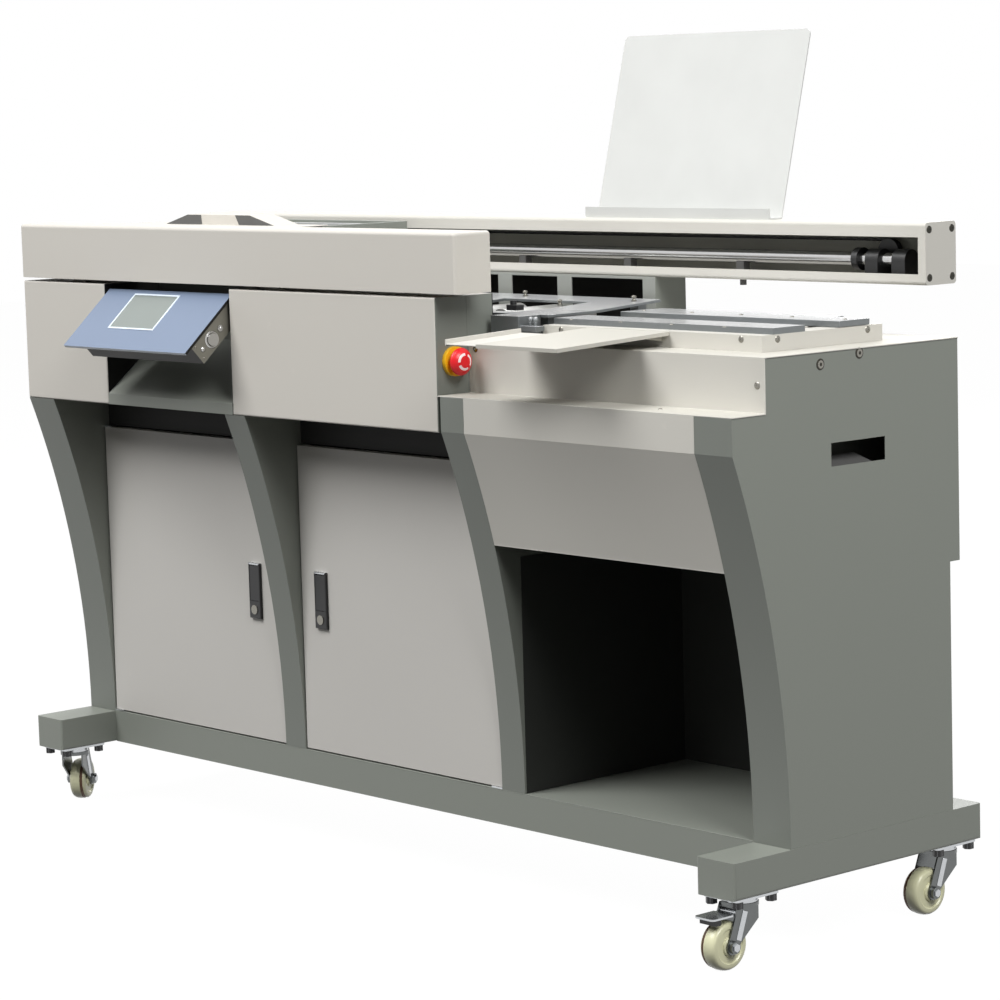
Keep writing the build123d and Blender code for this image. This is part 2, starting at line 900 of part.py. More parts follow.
def beam_pedestal():
    y0 = beam_front_y
    wall = beam_sheet
    case = block(0, pedestal_end_x, y0, rear_top_y, deck_z, beam_bottom_z)
    case -= block(wall, pedestal_end_x - wall, y0 + wall, rear_top_y - wall,
                  deck_z - overrun, beam_bottom_z - wall)
    for start, end in zip(pedestal_window_starts, pedestal_window_ends):
        case -= block(start, end, y0 - overrun, y0 + wall + overrun, deck_z + pedestal_sill,
                      beam_bottom_z - pedestal_sill)
    return case


def beam_housing():
    x0 = beam_sheet
    x1 = length - beam_sheet
    case = block(x0, x1, beam_front_y, beam_rear_y, beam_bottom_z, beam_top_z)
    case = fillet(case.edges().filter_by(Axis.X), beam_round)
    case -= block(0, length, beam_front_y + beam_sheet, beam_rear_y - beam_sheet,
                  beam_bottom_z + beam_sheet, beam_top_z - beam_sheet)
    case -= block(beam_end_band, length - beam_end_band, beam_front_y - overrun,
                  beam_front_y + beam_sheet + overrun, beam_bottom_z + beam_band_low,
                  beam_top_z - beam_band_high)
    return case


def beam_end_caps():
    caps = []
    for x in (0, length - beam_sheet):
        cap = block(x, x + beam_sheet, beam_front_y, beam_rear_y, beam_bottom_z, beam_top_z)
        caps.append(fillet(cap.edges().filter_by(Axis.X), beam_round))
    return group(caps)


def guide_rod():
    return rod_x(rod_start_x, rod_end_x, rod_y, rod_z, rod_radius)


def rod_bore(x0, x1):
    return rod_x(x0, x1, rod_y, rod_z, rod_radius + run_gap)


def rod_supports():
    # Posts under the rod, then the stop collar, the bracket and the end holder
    floor_z = beam_bottom_z + beam_sheet
    parts = []
    for step in range(post_count):
        x = post_first_x + step * post_pitch
        post = block(x - post_width / 2, x + post_width / 2, rod_y - post_depth / 2,
                     rod_y + post_depth / 2, floor_z, rod_z - rod_radius / 2)
        parts.append(post - rod_bore(x - post_width, x + post_width))
        if x > pedestal_end_x:
            parts.append(rod_z_way(x, rod_y, beam_bottom_z - post_bolt_height, beam_bottom_z,
                                   post_bolt_radius))
    collar = rod_x(collar_x, collar_x + collar_width, rod_y, rod_z, collar_radius)
    parts.append(collar - rod_bore(collar_x - overrun, collar_x + collar_width + overrun))
    for x0, width in ((bracket_x, bracket_width), (rod_end_x - holder_overlap, holder_width)):
        arm = block(x0, x0 + width, rod_y - bracket_radius, rod_y + bracket_radius, floor_z, rod_z)
        arm += rod_x(x0, x0 + width, rod_y, rod_z, bracket_radius)
        bore_end = min(x0 + width + overrun, rod_end_x + run_gap)
        parts.append(arm - rod_bore(x0 - overrun, bore_end))
    return group(parts)


def drive_belt():
    half = belt_width / 2
    outer = pulley_radius + belt_thickness
    low_x = drive_pulley_x
    high_x = pulley_x
    loops = []
    for radius, spare in ((outer, 0), (pulley_radius + belt_gap, overrun)):
        y0 = belt_y - half - spare
        y1 = belt_y + half + spare
        body = block(low_x, high_x, y0, y1, pulley_z - radius, pulley_z + radius)
        body += rod_y_way(low_x, y0, y1, pulley_z, radius)
        body += rod_y_way(high_x, y0, y1, pulley_z, radius)
        loops.append(body)
    return loops[0] - loops[1]


def pulley(x, shaft_front_y):
    half = belt_width / 2
    wheel = rod_y_way(x, belt_y - half, belt_y + half, pulley_z, pulley_radius)
    wheel += rod_y_way(x, belt_y - half - pulley_rim, belt_y - half, pulley_z,
                       pulley_radius + pulley_rim)
    if shaft_front_y < belt_y - half:
        wheel += rod_y_way(x, shaft_front_y, belt_y - half, pulley_z, pulley_bore)
    return wheel


def idler_pulley():
    wheel = pulley(pulley_x, belt_y)
    return wheel - rod_y_way(pulley_x, belt_y - belt_width, belt_y + belt_width, pulley_z,
                             pulley_bore + run_gap)


def idler_stud():
    back = beam_rear_y - beam_sheet
    return rod_y_way(pulley_x, belt_y - belt_width / 2 - pulley_rim, back, pulley_z, pulley_bore)


def drive_pulley():
    return pulley(drive_pulley_x, beam_front_y - drive_shaft_length)


def carriage_motor():
    # Closed drive housing at the left end; the pulley shaft runs in its rear face
    case = block(0, drive_housing_end_x, header_y + sheet, beam_front_y, deck_z,
                 drive_housing_top_z)
    case = fillet(case.edges().filter_by(Axis.Y).group_by(Axis.Z)[-1], drive_housing_round)
    return case - rod_y_way(drive_pulley_x, beam_front_y - drive_shaft_length - run_gap,
                            beam_front_y + overrun, pulley_z, pulley_bore + run_gap)


def carriage_end_x():
    return carriage_start_x + carriage_length


def bushing_places():
    return [carriage_start_x + bushing_inset_left, carriage_start_x + bushing_inset_right]


def clamp_bar_places():
    return [carriage_start_x + clamp_bar_inset, carriage_end_x() - clamp_bar_inset]


def carriage_middle_x():
    return carriage_start_x + carriage_length / 2


def carriage_frame():
    # Rigid ring round the book: fixed front jaw, two ends, a back wall and arms to the rod
    x0 = carriage_start_x
    x1 = carriage_end_x()
    back_end = carriage_back_y + carriage_back_thickness
    frame = block(x0, x1, jaw_front_y - jaw_thickness, jaw_front_y, jaw_bottom_z, jaw_top_z)
    for x in (x0, x1 - carriage_side):
        frame += block(x, x + carriage_side, jaw_front_y, back_end, frame_bottom_z, jaw_top_z)
    frame += block(x0, x1, carriage_back_y, back_end, frame_bottom_z, jaw_top_z)
    for x in clamp_bar_places():
        frame += rod_y_way(x, jaw_front_y, carriage_back_y, clamp_bar_z, clamp_bar_radius)
    for x in bushing_places():
        arm = block(x, x + bushing_length, back_end, rod_y, rod_z - arm_height / 2,
                    rod_z + arm_height / 2)
        frame += arm - rod_x(x - overrun, x + bushing_length + overrun, rod_y, rod_z,
                             bushing_radius)
    return frame - rod_y_way(carriage_middle_x(), carriage_back_y - overrun, back_end + overrun,
                             push_rod_z, push_rod_radius + run_gap)


def carriage_bushings():
    # Open bushings: the mouth underneath passes the posts that carry the rod
    parts = []
    for x in bushing_places():
        end = x + bushing_length
        bush = rod_x(x, end, rod_y, rod_z, bushing_radius) - rod_bore(x - overrun, end + overrun)
        mouth = bushing_mouth / 2
        bush -= block(x - overrun, end + overrun, rod_y - mouth, rod_y + mouth,
                      rod_z - bushing_radius - overrun, rod_z)
        parts.append(bush)
    start = bushing_places()[0] + (bushing_length - tongue_width) / 2
    low = pulley_z - pulley_radius + tongue_gap
    tongue = block(start, start + tongue_width, rod_y + bushing_tongue_start,
                   belt_y + belt_width / 2, low, low + tongue_height)
    parts[0] += tongue
    return group(parts)


def clamp_jaw():
    y0 = jaw_front_y + jaw_opening
    y1 = y0 + jaw_thickness
    x0 = carriage_start_x + carriage_side + jaw_side_gap
    x1 = carriage_end_x() - carriage_side - jaw_side_gap
    jaw = block(x0, x1, y0, y1, jaw_bottom_z, jaw_top_z)
    for x in clamp_bar_places():
        jaw += rod_y_way(x, y1, y1 + clamp_boss_length, clamp_bar_z, clamp_boss_radius)
        jaw -= rod_y_way(x, y0 - overrun, y1 + clamp_boss_length + overrun, clamp_bar_z,
                         clamp_bar_radius + run_gap)
    return jaw + rod_y_way(carriage_middle_x(), y1, push_rod_end_y, push_rod_z, push_rod_radius)


def carriage_cover():
    # Folded cover on the fixed jaw with the low clamp housing on top
    x0 = carriage_start_x
    x1 = carriage_end_x()
    top = jaw_top_z + sheet
    cover = block(x0, x1, carriage_cover_front_y, jaw_front_y, jaw_top_z, top)
    cover += block(x0, x1, carriage_cover_front_y, carriage_cover_front_y + sheet,
                   top - carriage_lip, jaw_top_z)
    base_left = x0 + carriage_length * hump_start_share
    base_right = x0 + carriage_length * hump_end_share
    slope = carriage_length * hump_slope_share
    points = [(base_left, top), (base_right, top)]
    points += [(base_right - slope, top + hump_height), (base_left + slope, top + hump_height)]
    hump = extrude(Plane.XZ.offset(-hump_front_y - hump_depth) * outline(points),
                   amount=hump_depth)
    return cover + hump


def bookrest():
    # Clear sheet with a hemmed lip, leaning back from the top of the beam
    base_z = beam_top_z
    foot_end = rest_bend_y + rest_sheet
    points = [(rest_lip_y, base_z), (foot_end, base_z), (foot_end, base_z + rest_sheet)]
    points += [(rest_lip_y + rest_sheet, base_z + rest_sheet)]
    points += [(rest_lip_y + rest_sheet, base_z + rest_lip_height)]
    points += [(rest_lip_y, base_z + rest_lip_height)]
    rest = along_x(outline(points), rest_left_x, rest_right_x)
    rise = rest_top_z - base_z
    back = rest_top_y - rest_bend_y - rest_sheet
    panel_height = math.hypot(rise, back)
    lean = math.degrees(math.atan2(back, rise))
    width = rest_right_x - rest_left_x
    panel = Pos(width / 2, 0, panel_height / 2) * Box(width, rest_sheet, panel_height)
    corners = panel.edges().filter_by(Axis.Y).group_by(Axis.Z)[-1]
    panel = fillet(corners, rest_round)
    rise_at_foot = math.sin(math.radians(lean)) * rest_sheet / 2
    seat = Pos(rest_left_x, rest_bend_y + rest_sheet / 2, base_z + rise_at_foot)
    return rest + seat * Rot(-lean, 0, 0) * panel


def tray_frame():
    # The tray lies on a slight slope, so its pieces are drawn flat and tilted into place
    rise = tray_rear_z - tray_front_z
    tilt = math.degrees(math.atan2(rise, nip_base_front_y - tray_front_y))
    return Pos(0, tray_front_y, tray_front_z) * Rot(tilt, 0, 0)


def tray_depth():
    rise = tray_rear_z - tray_front_z
    return math.hypot(rise, nip_base_front_y - tray_front_y)


def cover_tray():
    x0 = tray_left_x
    x1 = tray_right_x
    low = -tray_hem
    tray = block(x0, x1, 0, tray_depth() - tray_end_gap, -sheet, 0)
    tray += block(x0, x1, 0, sheet, low, -sheet)
    tray += block(x1 - sheet, x1, 0, tray_depth() - seat_gap, low, -sheet)
    tray += block(x0, x1, 0, tray_return, low, low + tray_return_sheet)
    runner = guide_inset + guide_depth + seat_gap
    tray += block(x0, x1, runner, runner + sheet, low, -sheet)
    tray += block(x0, x1, runner - tray_return, runner + sheet, low, low + tray_return_sheet)
    rear = tray_depth() - tray_end_gap
    under = -sheet / 2
    slope = (tray_rear_z - tray_front_z) / (nip_base_front_y - tray_front_y)
    low_rear = rear - (tray_rib_height + sheet) * slope
    rib = outline([(rear, under), (low_rear, under - tray_rib_height),
                   (rear - tray_rib_depth, under)])
    for x in (x0 + tray_rib_inset, x1 - tray_rib_inset):
        tray += along_x(rib, x, x + sheet)
    return tray_frame() * tray


def tray_side_guide():
    top = -sheet - seat_gap
    bottom = top - sheet
    y0 = guide_inset
    y1 = guide_inset + guide_depth
    plate = block(guide_left_x, guide_right_x, y0, y1, bottom, top)
    plate += block(guide_left_x, guide_left_x + sheet, y0, y1, -tray_hem, guide_lip)
    return tray_frame() * plate


def milling_motor():
    # Motor hung under the deck, with a collar that guides the shaft
    under = deck_z - sheet
    low = mill_motor_top_z - mill_motor_length
    motor = rod_z_way(mill_x, mill_y, low, mill_motor_top_z, mill_motor_radius)
    motor += rod_z_way(mill_x, mill_y, mill_motor_top_z, under, mill_collar_radius)
    return motor - rod_z_way(mill_x, mill_y, mill_motor_top_z - mill_shaft_depth, under + overrun,
                             mill_shaft_radius + run_gap)


def milling_disc():
    # Cutter disc on its shaft: the ring of teeth stands just above the table
    tooth_top = table_top_z + mill_rise
    disc_top = tooth_top - mill_tooth_rise
    disc_low = disc_top - mill_disc_thickness
    disc = rod_z_way(mill_x, mill_y, disc_low, disc_top, mill_radius)
    disc += rod_z_way(mill_x, mill_y, mill_motor_top_z - mill_shaft_depth + nip_slot_gap, disc_low,
                      mill_shaft_radius)
    disc += rod_z_way(mill_x, mill_y, disc_low - mill_hub_height, disc_low, mill_hub_radius)
    tooth = Pos(mill_radius - mill_tooth_length / 2, 0, mill_tooth_rise / 2)
    tooth = tooth * Box(mill_tooth_length, mill_tooth_width, mill_tooth_rise)
    tooth = chamfer(tooth.edges().filter_by(Axis.X).group_by(Axis.Z)[-1], mill_tooth_chamfer)
    for step in range(mill_tooth_count):
        turn = 360 * step / mill_tooth_count
        disc += Pos(mill_x, mill_y, disc_top) * Rot(0, 0, turn) * tooth
    return disc


def roller_z():
    return table_top_z + roller_rise - roller_radius


def roller_places():
    middle = glue_start_x + glue_length / 2
    return [middle - roller_pitch / 2, middle + roller_pitch / 2]


def glue_pot():
    # Open tank that hangs in the deck by its flange, with the chain case on its rear wall
    x0 = glue_start_x
    x1 = glue_start_x + glue_length
    y0 = glue_front_y
    y1 = glue_front_y + glue_depth
    pot = block(x0, x1, y0, y1, glue_bottom_z, glue_rim_z)
    pot += block(x0 - glue_flange, x1 + glue_flange, y0 - glue_flange, y1 + glue_flange,
                 deck_z, deck_z + glue_flange_height)
    middle = (x0 + x1) / 2
    half = chain_case_length / 2 + chain_case_wall
    case_low = roller_z() - chain_case_height / 2 + chain_case_wall
    pot += block(middle - half, middle + half, y1, y1 + chain_case_depth, case_low,
                 case_low + chain_case_height)
    pot -= block(x0 + glue_wall, x1 - glue_wall, y0 + glue_wall, y1 - glue_wall,
                 glue_bottom_z + glue_wall, glue_rim_z + overrun)
    for x in roller_places():
        pot -= rod_y_way(x, y0 + roller_shaft_front - run_gap, y1 + chain_case_depth
                         - chain_case_wall + run_gap, roller_z(), roller_shaft_radius + run_gap)
    return pot


def glue_roller(x):
    middle = glue_front_y + glue_depth / 2
    roller = rod_y_way(x, middle - roller_length / 2, middle + roller_length / 2, roller_z(),
                       roller_radius)
    rear = glue_front_y + glue_depth + chain_case_depth - chain_case_wall
    return roller + rod_y_way(x, glue_front_y + roller_shaft_front, rear, roller_z(),
                              roller_shaft_radius)


def door_pan(x0, x1):
    back = door_y + door_thickness
    pan = block(x0, x1, door_y, back, door_bottom_z, door_top_z)
    return pan - block(x0 + sheet, x1 - sheet, door_y + sheet, back + overrun,
                       door_bottom_z + sheet, door_top_z - sheet)


def hinge_pin_y():
    return door_y + door_hinge_depth


def lock_case(x0):
    # Dark plate lock: rim round the lever, round cylinder below, box inside the door
    z1 = lock_bottom_z + lock_height
    x1 = x0 + lock_width
    front = door_y - lock_depth
    case = block(x0, x1, front, door_y, lock_bottom_z, z1)
    case = fillet(case.faces().sort_by(Axis.Y)[0].edges(), lock_round)
    case += block(x0 + lock_rim, x1 - lock_rim, door_y, door_y + lock_box_depth,
                  lock_bottom_z + lock_rim, z1 - lock_rim)
    lever_low = z1 - lock_rim - lock_lever_length
    case -= block(x0 + lock_rim, x1 - lock_rim, front - overrun, door_y + seat_gap,
                  lever_low - seat_gap, z1 - lock_rim)
    middle = (x0 + x1) / 2
    lower = (lock_bottom_z + lever_low) / 2
    case += rod_y_way(middle, front - lock_cylinder_rise, front, lower, lock_cylinder_radius)
    pin_z = z1 - lock_rim - lock_lever_thickness
    return case + rod_x(x0 + lock_rim, x1 - lock_rim, lock_pin_y(), pin_z, lock_pin_radius)


def lock_pin_y():
    return door_y - lock_depth + lock_lever_thickness / 2 + seat_gap


def lock_lever(x0):
    z1 = lock_bottom_z + lock_height
    left = x0 + lock_rim + seat_gap
    right = x0 + lock_width - lock_rim - seat_gap
    half = lock_lever_thickness / 2
    pin_z = z1 - lock_rim - lock_lever_thickness
    low = z1 - lock_rim - lock_lever_length + seat_gap
    lever = block(left, right, lock_pin_y() - half, lock_pin_y() + half, low, pin_z)
    lever += rod_x(left, right, lock_pin_y(), pin_z, half)
    return lever - rod_x(left - overrun, right + overrun, lock_pin_y(), pin_z,
                         lock_pin_radius + run_gap)


def door(x0, x1, hinge_x, lock_x):
    pan = door_pan(x0, x1)
    for z in (door_bottom_z, door_top_z):
        pan -= rod_z_way(hinge_x, hinge_pin_y(), z - overrun, z + overrun,
                         hinge_pin_radius + run_gap)
    pan -= block(lock_x + lock_rim, lock_x + lock_width - lock_rim, door_y - overrun,
                 door_y + sheet + seat_gap, lock_bottom_z + lock_rim,
                 lock_bottom_z + lock_height - lock_rim)
    return group([pan, lock_case(lock_x)])


def door_edges():
    # Left edge, right edge, hinge line and lock place of both doors
    left = (foot_width + door_side_gap, left_divider_x - door_side_gap)
    right = (left_divider_x + divider_width + door_side_gap, right_divider_x - door_side_gap)
    left_lock = left[1] - lock_inset_left - lock_width
    right_lock = right[0] + lock_inset_right
    return [left + (left[0] + door_hinge_gap, left_lock),
            right + (right[1] - door_hinge_gap, right_lock)]


def door_hinges():
    parts = []
    tab = door_bottom_z - floor_top_z - seat_gap
    for edges in door_edges():
        x = edges[2]
        left = edges[0] - door_side_gap
        if x > left_divider_x:
            left = edges[1] + door_side_gap - hinge_tab_width
        y0 = hinge_pin_y() - hinge_tab_depth / 2
        y1 = header_y + sheet
        low = block(left, left + hinge_tab_width, y0, y1, floor_top_z, floor_top_z + tab)
        low += rod_z_way(x, hinge_pin_y(), floor_top_z + tab, floor_top_z + hinge_pin_length,
                         hinge_pin_radius)
        top_z = door_top_z + door_bottom_z - floor_top_z
        high = block(left, left + hinge_tab_width, y0, y1, top_z - tab, top_z)
        high += rod_z_way(x, hinge_pin_y(), top_z - hinge_pin_length, top_z - tab,
                          hinge_pin_radius)
        parts += [low, high]
    return group(parts)


def console_frame():
    # Console pieces are drawn flat, with Y up the slope from the top edge, and tilted into place
    return Pos(0, console_top_y, console_top_z) * Rot(console_tilt, 0, 0)


def console_plate():
    plate = block(console_left_x, console_right_x, -console_length, 0, -console_plate_thickness, 0)
    corners = plate.edges().filter_by(Axis.Z)
    return console_frame() * fillet(corners, console_corner)


def console_housing():
    top = -console_plate_thickness
    bottom = top - console_box_depth
    box = block(console_box_left_x, console_box_right_x, -console_box_end, -console_box_start,
                bottom, top)
    box -= rod_x(console_box_left_x - overrun, console_box_right_x + overrun,
                 -console_pin_along, -console_pin_below, console_pin_radius + run_gap)
    box -= rod_x(console_box_right_x - console_button_depth, console_box_right_x + overrun,
                 -console_button_along, -console_button_below, console_button_radius + run_gap)
    return console_frame() * box


def console_button():
    return console_frame() * rod_x(console_box_right_x - console_button_depth
                                   + console_button_travel + seat_gap,
                                   console_box_right_x + console_button_rise,
                                   -console_button_along, -console_button_below,
                                   console_button_radius)


def console_mount():
    # Hinge pin with an arm at each end, reaching forward from the back of the recess
    pin = console_frame() * rod_x(left_cover_end_x + console_arm_gap,
                                  right_cover_start_x - console_arm_gap,
                                  -console_pin_along, -console_pin_below, console_pin_radius)
    centre = pin.center()
    arms = []
    half = console_arm_height / 2
    for x0 in (left_cover_end_x + console_arm_gap,
               right_cover_start_x - console_arm_gap - console_arm_width):
        arms.append(block(x0, x0 + console_arm_width, centre.Y - half / 2, header_y - sheet,
                          centre.Z - half, centre.Z + half))
    return pin + arms[0] + arms[1]


def stop_base():
    base = rod_x(casing_end_x, casing_end_x + stop_base_height, stop_y, stop_z, stop_base_radius)
    base += rod_x(casing_end_x - stop_neck_length, casing_end_x, stop_y, stop_z,
                  stop_neck_radius)
    half = stop_block_size / 2
    base += block(casing_end_x - stop_neck_length - stop_block_depth,
                  casing_end_x - stop_neck_length, stop_y - half, stop_y + half,
                  stop_z - half, stop_z + half)
    return base - rod_x(casing_end_x - stop_stem_depth, casing_end_x + stop_base_height + overrun,
                        stop_y, stop_z, stop_stem_radius + run_gap)


def stop_stem():
    start = casing_end_x - stop_stem_depth + stop_travel + nip_slot_gap
    end = casing_end_x + stop_base_height + stop_cap_gap + stop_cap_height / 2
    return rod_x(start, end, stop_y, stop_z, stop_stem_radius)


def stop_cap():
    # Mushroom cap turned from one profile, hollow where it sits on the stem
    x0 = casing_end_x + stop_base_height + stop_cap_gap
    dome = stop_cap_height / 2
    bore = stop_stem_radius + run_gap
    seat = stop_cap_height / 2 + run_gap
    edge = stop_cap_radius
    profile = [Line((bore, 0), (edge - dome / 2, 0)).edges()]
    rim_end = (edge - dome * stop_cap_edge_share, dome)
    crown = (edge / 2, stop_cap_height - dome * stop_cap_crown_share)
    top = (stop_cap_flat, stop_cap_height)
    profile.append(ThreePointArc((edge - dome / 2, 0), (edge, dome / 2), rim_end).edges())
    profile.append(ThreePointArc(rim_end, crown, top).edges())
    profile.append(Polyline(top, (0, stop_cap_height), (0, seat), (bore, seat), (bore, 0)).edges())
    edges = [edge for part in profile for edge in part]
    solid = revolve(Plane.XZ * make_face(edges), axis=Axis.Z)
    return Pos(x0, stop_y, stop_z) * Rot(0, 90, 0) * solid


def control_gear():
    # Mounting plate on spacers, transformer case, a row of relays and the cable gland
    wall = rear_y - sheet
    plate_y = wall - gear_plate_gap
    face = plate_y - sheet
    plate_end_x = gear_plate_x + gear_plate_width
    plate_top_z = gear_plate_z + gear_plate_height
    gear = block(gear_plate_x, plate_end_x, face, plate_y, gear_plate_z, plate_top_z)
    for x in (gear_plate_x + gear_spacer_inset, plate_end_x - gear_spacer_inset):
        for z in (gear_plate_z + gear_spacer_inset, plate_top_z - gear_spacer_inset):
            gear += rod_y_way(x, plate_y, wall, z, gear_spacer_radius)
    gear += block(gear_box_x, gear_box_x + gear_box_width, face - gear_box_depth, face, gear_box_z,
                  gear_box_z + gear_box_height)
    for step in range(gear_row_count):
        x = gear_row_x + step * gear_row_pitch
        gear += block(x, x + gear_row_width, face - gear_row_depth, face, gear_box_z,
                      gear_box_z + gear_row_height)
    gland = rod_y_way(gland_x, wall - gland_length, rear_y + gland_length, gland_z,
                      gland_radius - gland_flange)
    gland += rod_y_way(gland_x, rear_y, rear_y + gland_flange, gland_z, gland_flange_radius)
    gland += rod_y_way(gland_x, rear_y + gland_flange, rear_y + gland_length, gland_z, gland_radius)
    gland -= rod_y_way(gland_x, wall - gland_length - overrun, rear_y + gland_length + overrun,
                       gland_z, gland_bore)
    return group([gear, gland])


def caster_spots():
    # Node ending, swivel place and the way the wheel trails
    front = caster_end
    rear = foot_length - caster_end
    right = length - caster_side
    return [("left_front", caster_side, front, left_front_heading),
            ("left_rear", caster_side, rear, left_rear_heading),
            ("right_front", right, front, right_heading),
            ("right_rear", right, rear, right_heading)]


def caster_place(x, y, heading):
    # Caster pieces are drawn with the swivel axis at the origin and the wheel trailing along +X
    return Pos(x, y, 0) * Rot(0, 0, heading)


def race_bottom_z():
    return caster_height - caster_plate_thickness - race_height


def caster_plates():
    parts = []
    top = caster_height
    under = top - caster_plate_thickness
    for spot in caster_spots():
        x, y = spot[1], spot[2]
        plate = block(x - caster_plate_width / 2, x + caster_plate_width / 2,
                      y - caster_plate_length / 2, y + caster_plate_length / 2, under, top)
        plate = fillet(plate.edges().filter_by(Axis.Z), foot_round)
        plate += rod_z_way(x, y, race_bottom_z(), under, race_radius)
        plate -= rod_z_way(x, y, race_bottom_z() - overrun,
                           race_bottom_z() + kingpin_length, kingpin_radius + run_gap)
        for side in (-bolt_space_x / 2, bolt_space_x / 2):
            for end in (-bolt_space_y / 2, bolt_space_y / 2):
                plate += rod_z_way(x + side, y + end, under - mount_bolt_height, under,
                                   mount_bolt_radius)
        parts.append(plate)
    return group(parts)


def fork_inner():
    return wheel_width / 2 + wheel_hub_rise + fork_gap


def fork_cheek(y0):
    top = race_bottom_z() - race_gap
    points = [(-fork_back, top), (fork_front, top)]
    points += [(caster_trail + fork_ear, wheel_radius)]
    points += [(caster_trail - fork_ear, wheel_radius), (-fork_back, top - fork_heel_drop)]
    cheek = extrude(Plane.XZ.offset(-y0 - fork_sheet) * outline(points), amount=fork_sheet)
    return cheek + rod_y_way(caster_trail, y0, y0 + fork_sheet, wheel_radius, fork_ear)


def fork_shape():
    top = race_bottom_z() - race_gap
    low = top - fork_crown
    half = fork_inner() + fork_sheet
    fork = block(-fork_back, fork_front, -half, half, low, top)
    fork += rod_z_way(0, 0, low, top, fork_crown_radius)
    fork += rod_z_way(0, 0, top, top + race_gap + kingpin_length - nip_slot_gap, kingpin_radius)
    for y0 in (fork_inner(), -half):
        fork += fork_cheek(y0)
    fork += rod_y_way(caster_trail, -half, half, wheel_radius, wheel_bore - run_gap)
    for y0 in (half, -half - axle_head):
        fork += rod_y_way(caster_trail, y0, y0 + axle_head, wheel_radius, axle_head_radius)
    return fork


def pedal_pin():
    reach = fork_inner() + fork_sheet / 2
    return rod_y_way(pedal_pin_x, -reach, reach, pedal_pin_z, pedal_pin_radius)


def wheel_shape():
    # Solid wheel turned from one profile: rounded tread, dished sides, raised hub
    half = wheel_width / 2
    hub = half + wheel_hub_rise
    rim = wheel_radius
    soft = wheel_round
    points = [(wheel_bore, -hub), (wheel_hub_radius, -hub), (wheel_hub_radius, wheel_dish - half)]
    points += [(wheel_dish_radius, wheel_dish - half), (wheel_dish_radius, -half)]
    points += [(rim, -half), (rim, half)]
    points += [(wheel_dish_radius, half), (wheel_dish_radius, half - wheel_dish)]
    points += [(wheel_hub_radius, half - wheel_dish), (wheel_hub_radius, hub), (wheel_bore, hub)]
    wheel = revolve(Plane.XZ * outline(points), axis=Axis.Z)
    tread = wheel.edges().filter_by(GeomType.CIRCLE).sort_by(lambda edge: edge.radius)[-2:]
    wheel = fillet(tread, soft)
    return Pos(caster_trail, 0, wheel_radius) * Rot(90, 0, 0) * wheel


def brake_pedal_shape():
    # Bent pedal with a brake shoe under it, hinged on a pin between the fork cheeks
    half = fork_inner() - pedal_side_gap
    wide = pedal_width / 2
    x0 = pedal_pin_x
    z0 = pedal_pin_z
    end = x0 + pedal_length
    pedal = rod_y_way(x0, -half, half, z0, pedal_boss_radius)
    pedal += block(x0, x0 + pedal_wide_start, -half, half, z0 - pedal_thickness / 2,
                   z0 + pedal_thickness / 2)
    tread = block(x0 + pedal_wide_start, end, -wide, wide, z0 - pedal_thickness / 2,
                  z0 + pedal_thickness / 2)
    pedal += fillet(tread.edges().filter_by(Axis.Z).group_by(Axis.X)[-1], pedal_lip)
    pedal += block(x0 + shoe_start, x0 + shoe_start + shoe_length, -half, half,
                   z0 - pedal_thickness / 2 - shoe_drop, z0)
    return pedal - rod_y_way(x0, -half - overrun, half + overrun, z0, pedal_pin_radius + run_gap)


def cabinet_pieces():
    return {
        "base_frame": base_frame(),
        "cabinet_floor": cabinet_floor(),
        "left_end_wall": left_end_wall(),
        "right_end_wall": right_end_wall(),
        "dividers": group([divider_left(), divider_right()]),
        "header_panel": header_panel(),
        "front_cover_left": front_cover(0, left_cover_end_x),
        "front_cover_right": front_cover_right(),
        "console_recess": console_recess() + console_mount(),
        "head_cover": head_cover(),
        "rear_panel": rear_panel(),
        "left_deck": left_deck(),
        "deck_cover": deck_cover(),
        "control_gear": control_gear(),
    }


def rail_pieces():
    return {
        "beam_pedestal": beam_pedestal(),
        "beam_housing": group([beam_housing(), beam_end_caps()]),
        "guide_rod": guide_rod(),
        "rod_supports": group([rod_supports(), idler_stud()]),
        "drive_belt": drive_belt(),
        "drive_pulley": drive_pulley(),
        "idler_pulley": idler_pulley(),
        "carriage_motor": carriage_motor(),
        "carriage_frame": carriage_frame(),
        "carriage_bushings": carriage_bushings(),
        "clamp_jaw": clamp_jaw(),
        "carriage_cover": carriage_cover(),
        "bookrest": bookrest(),
    }


def working_pieces():
    left, right = roller_places()
    return {
        "processing_table": group([processing_table(), table_rail()]),
        "milling_motor": milling_motor(),
        "milling_disc": milling_disc(),
        "glue_pot": glue_pot(),
        "glue_roller_left": glue_roller(left),
        "glue_roller_right": glue_roller(right),
        "nip_base": nip_base(),
        "nip_fixed_bars": nip_fixed_bars(),
        "nip_jaw": nip_jaw(),
        "nip_table": nip_table(),
        "nip_guides": nip_guides(),
        "cover_tray": cover_tray(),
        "tray_side_guide": tray_side_guide(),
    }


def fitted_pieces():
    left, right = door_edges()
    return {
        "door_left": door(*left),
        "door_right": door(*right),
        "door_hinges": door_hinges(),
        "lock_lever_left": lock_lever(left[-1]),
        "lock_lever_right": lock_lever(right[-1]),
        "estop_base": stop_base(),
        "estop_stem": stop_stem(),
        "estop_cap": stop_cap(),
        "console": console_plate() + console_housing(),
        "console_button": console_button(),
    }


def caster_pieces():
    pieces = {"caster_plates": caster_plates()}
    for name, x, y, heading in caster_spots():
        place = caster_place(x, y, heading)
        fork = fork_shape()
        if name == "right_front":
            fork += pedal_pin()
            pieces["brake_pedal"] = place * brake_pedal_shape()
        pieces["caster_fork_" + name] = place * fork
        pieces["caster_wheel_" + name] = place * wheel_shape()
    return pieces


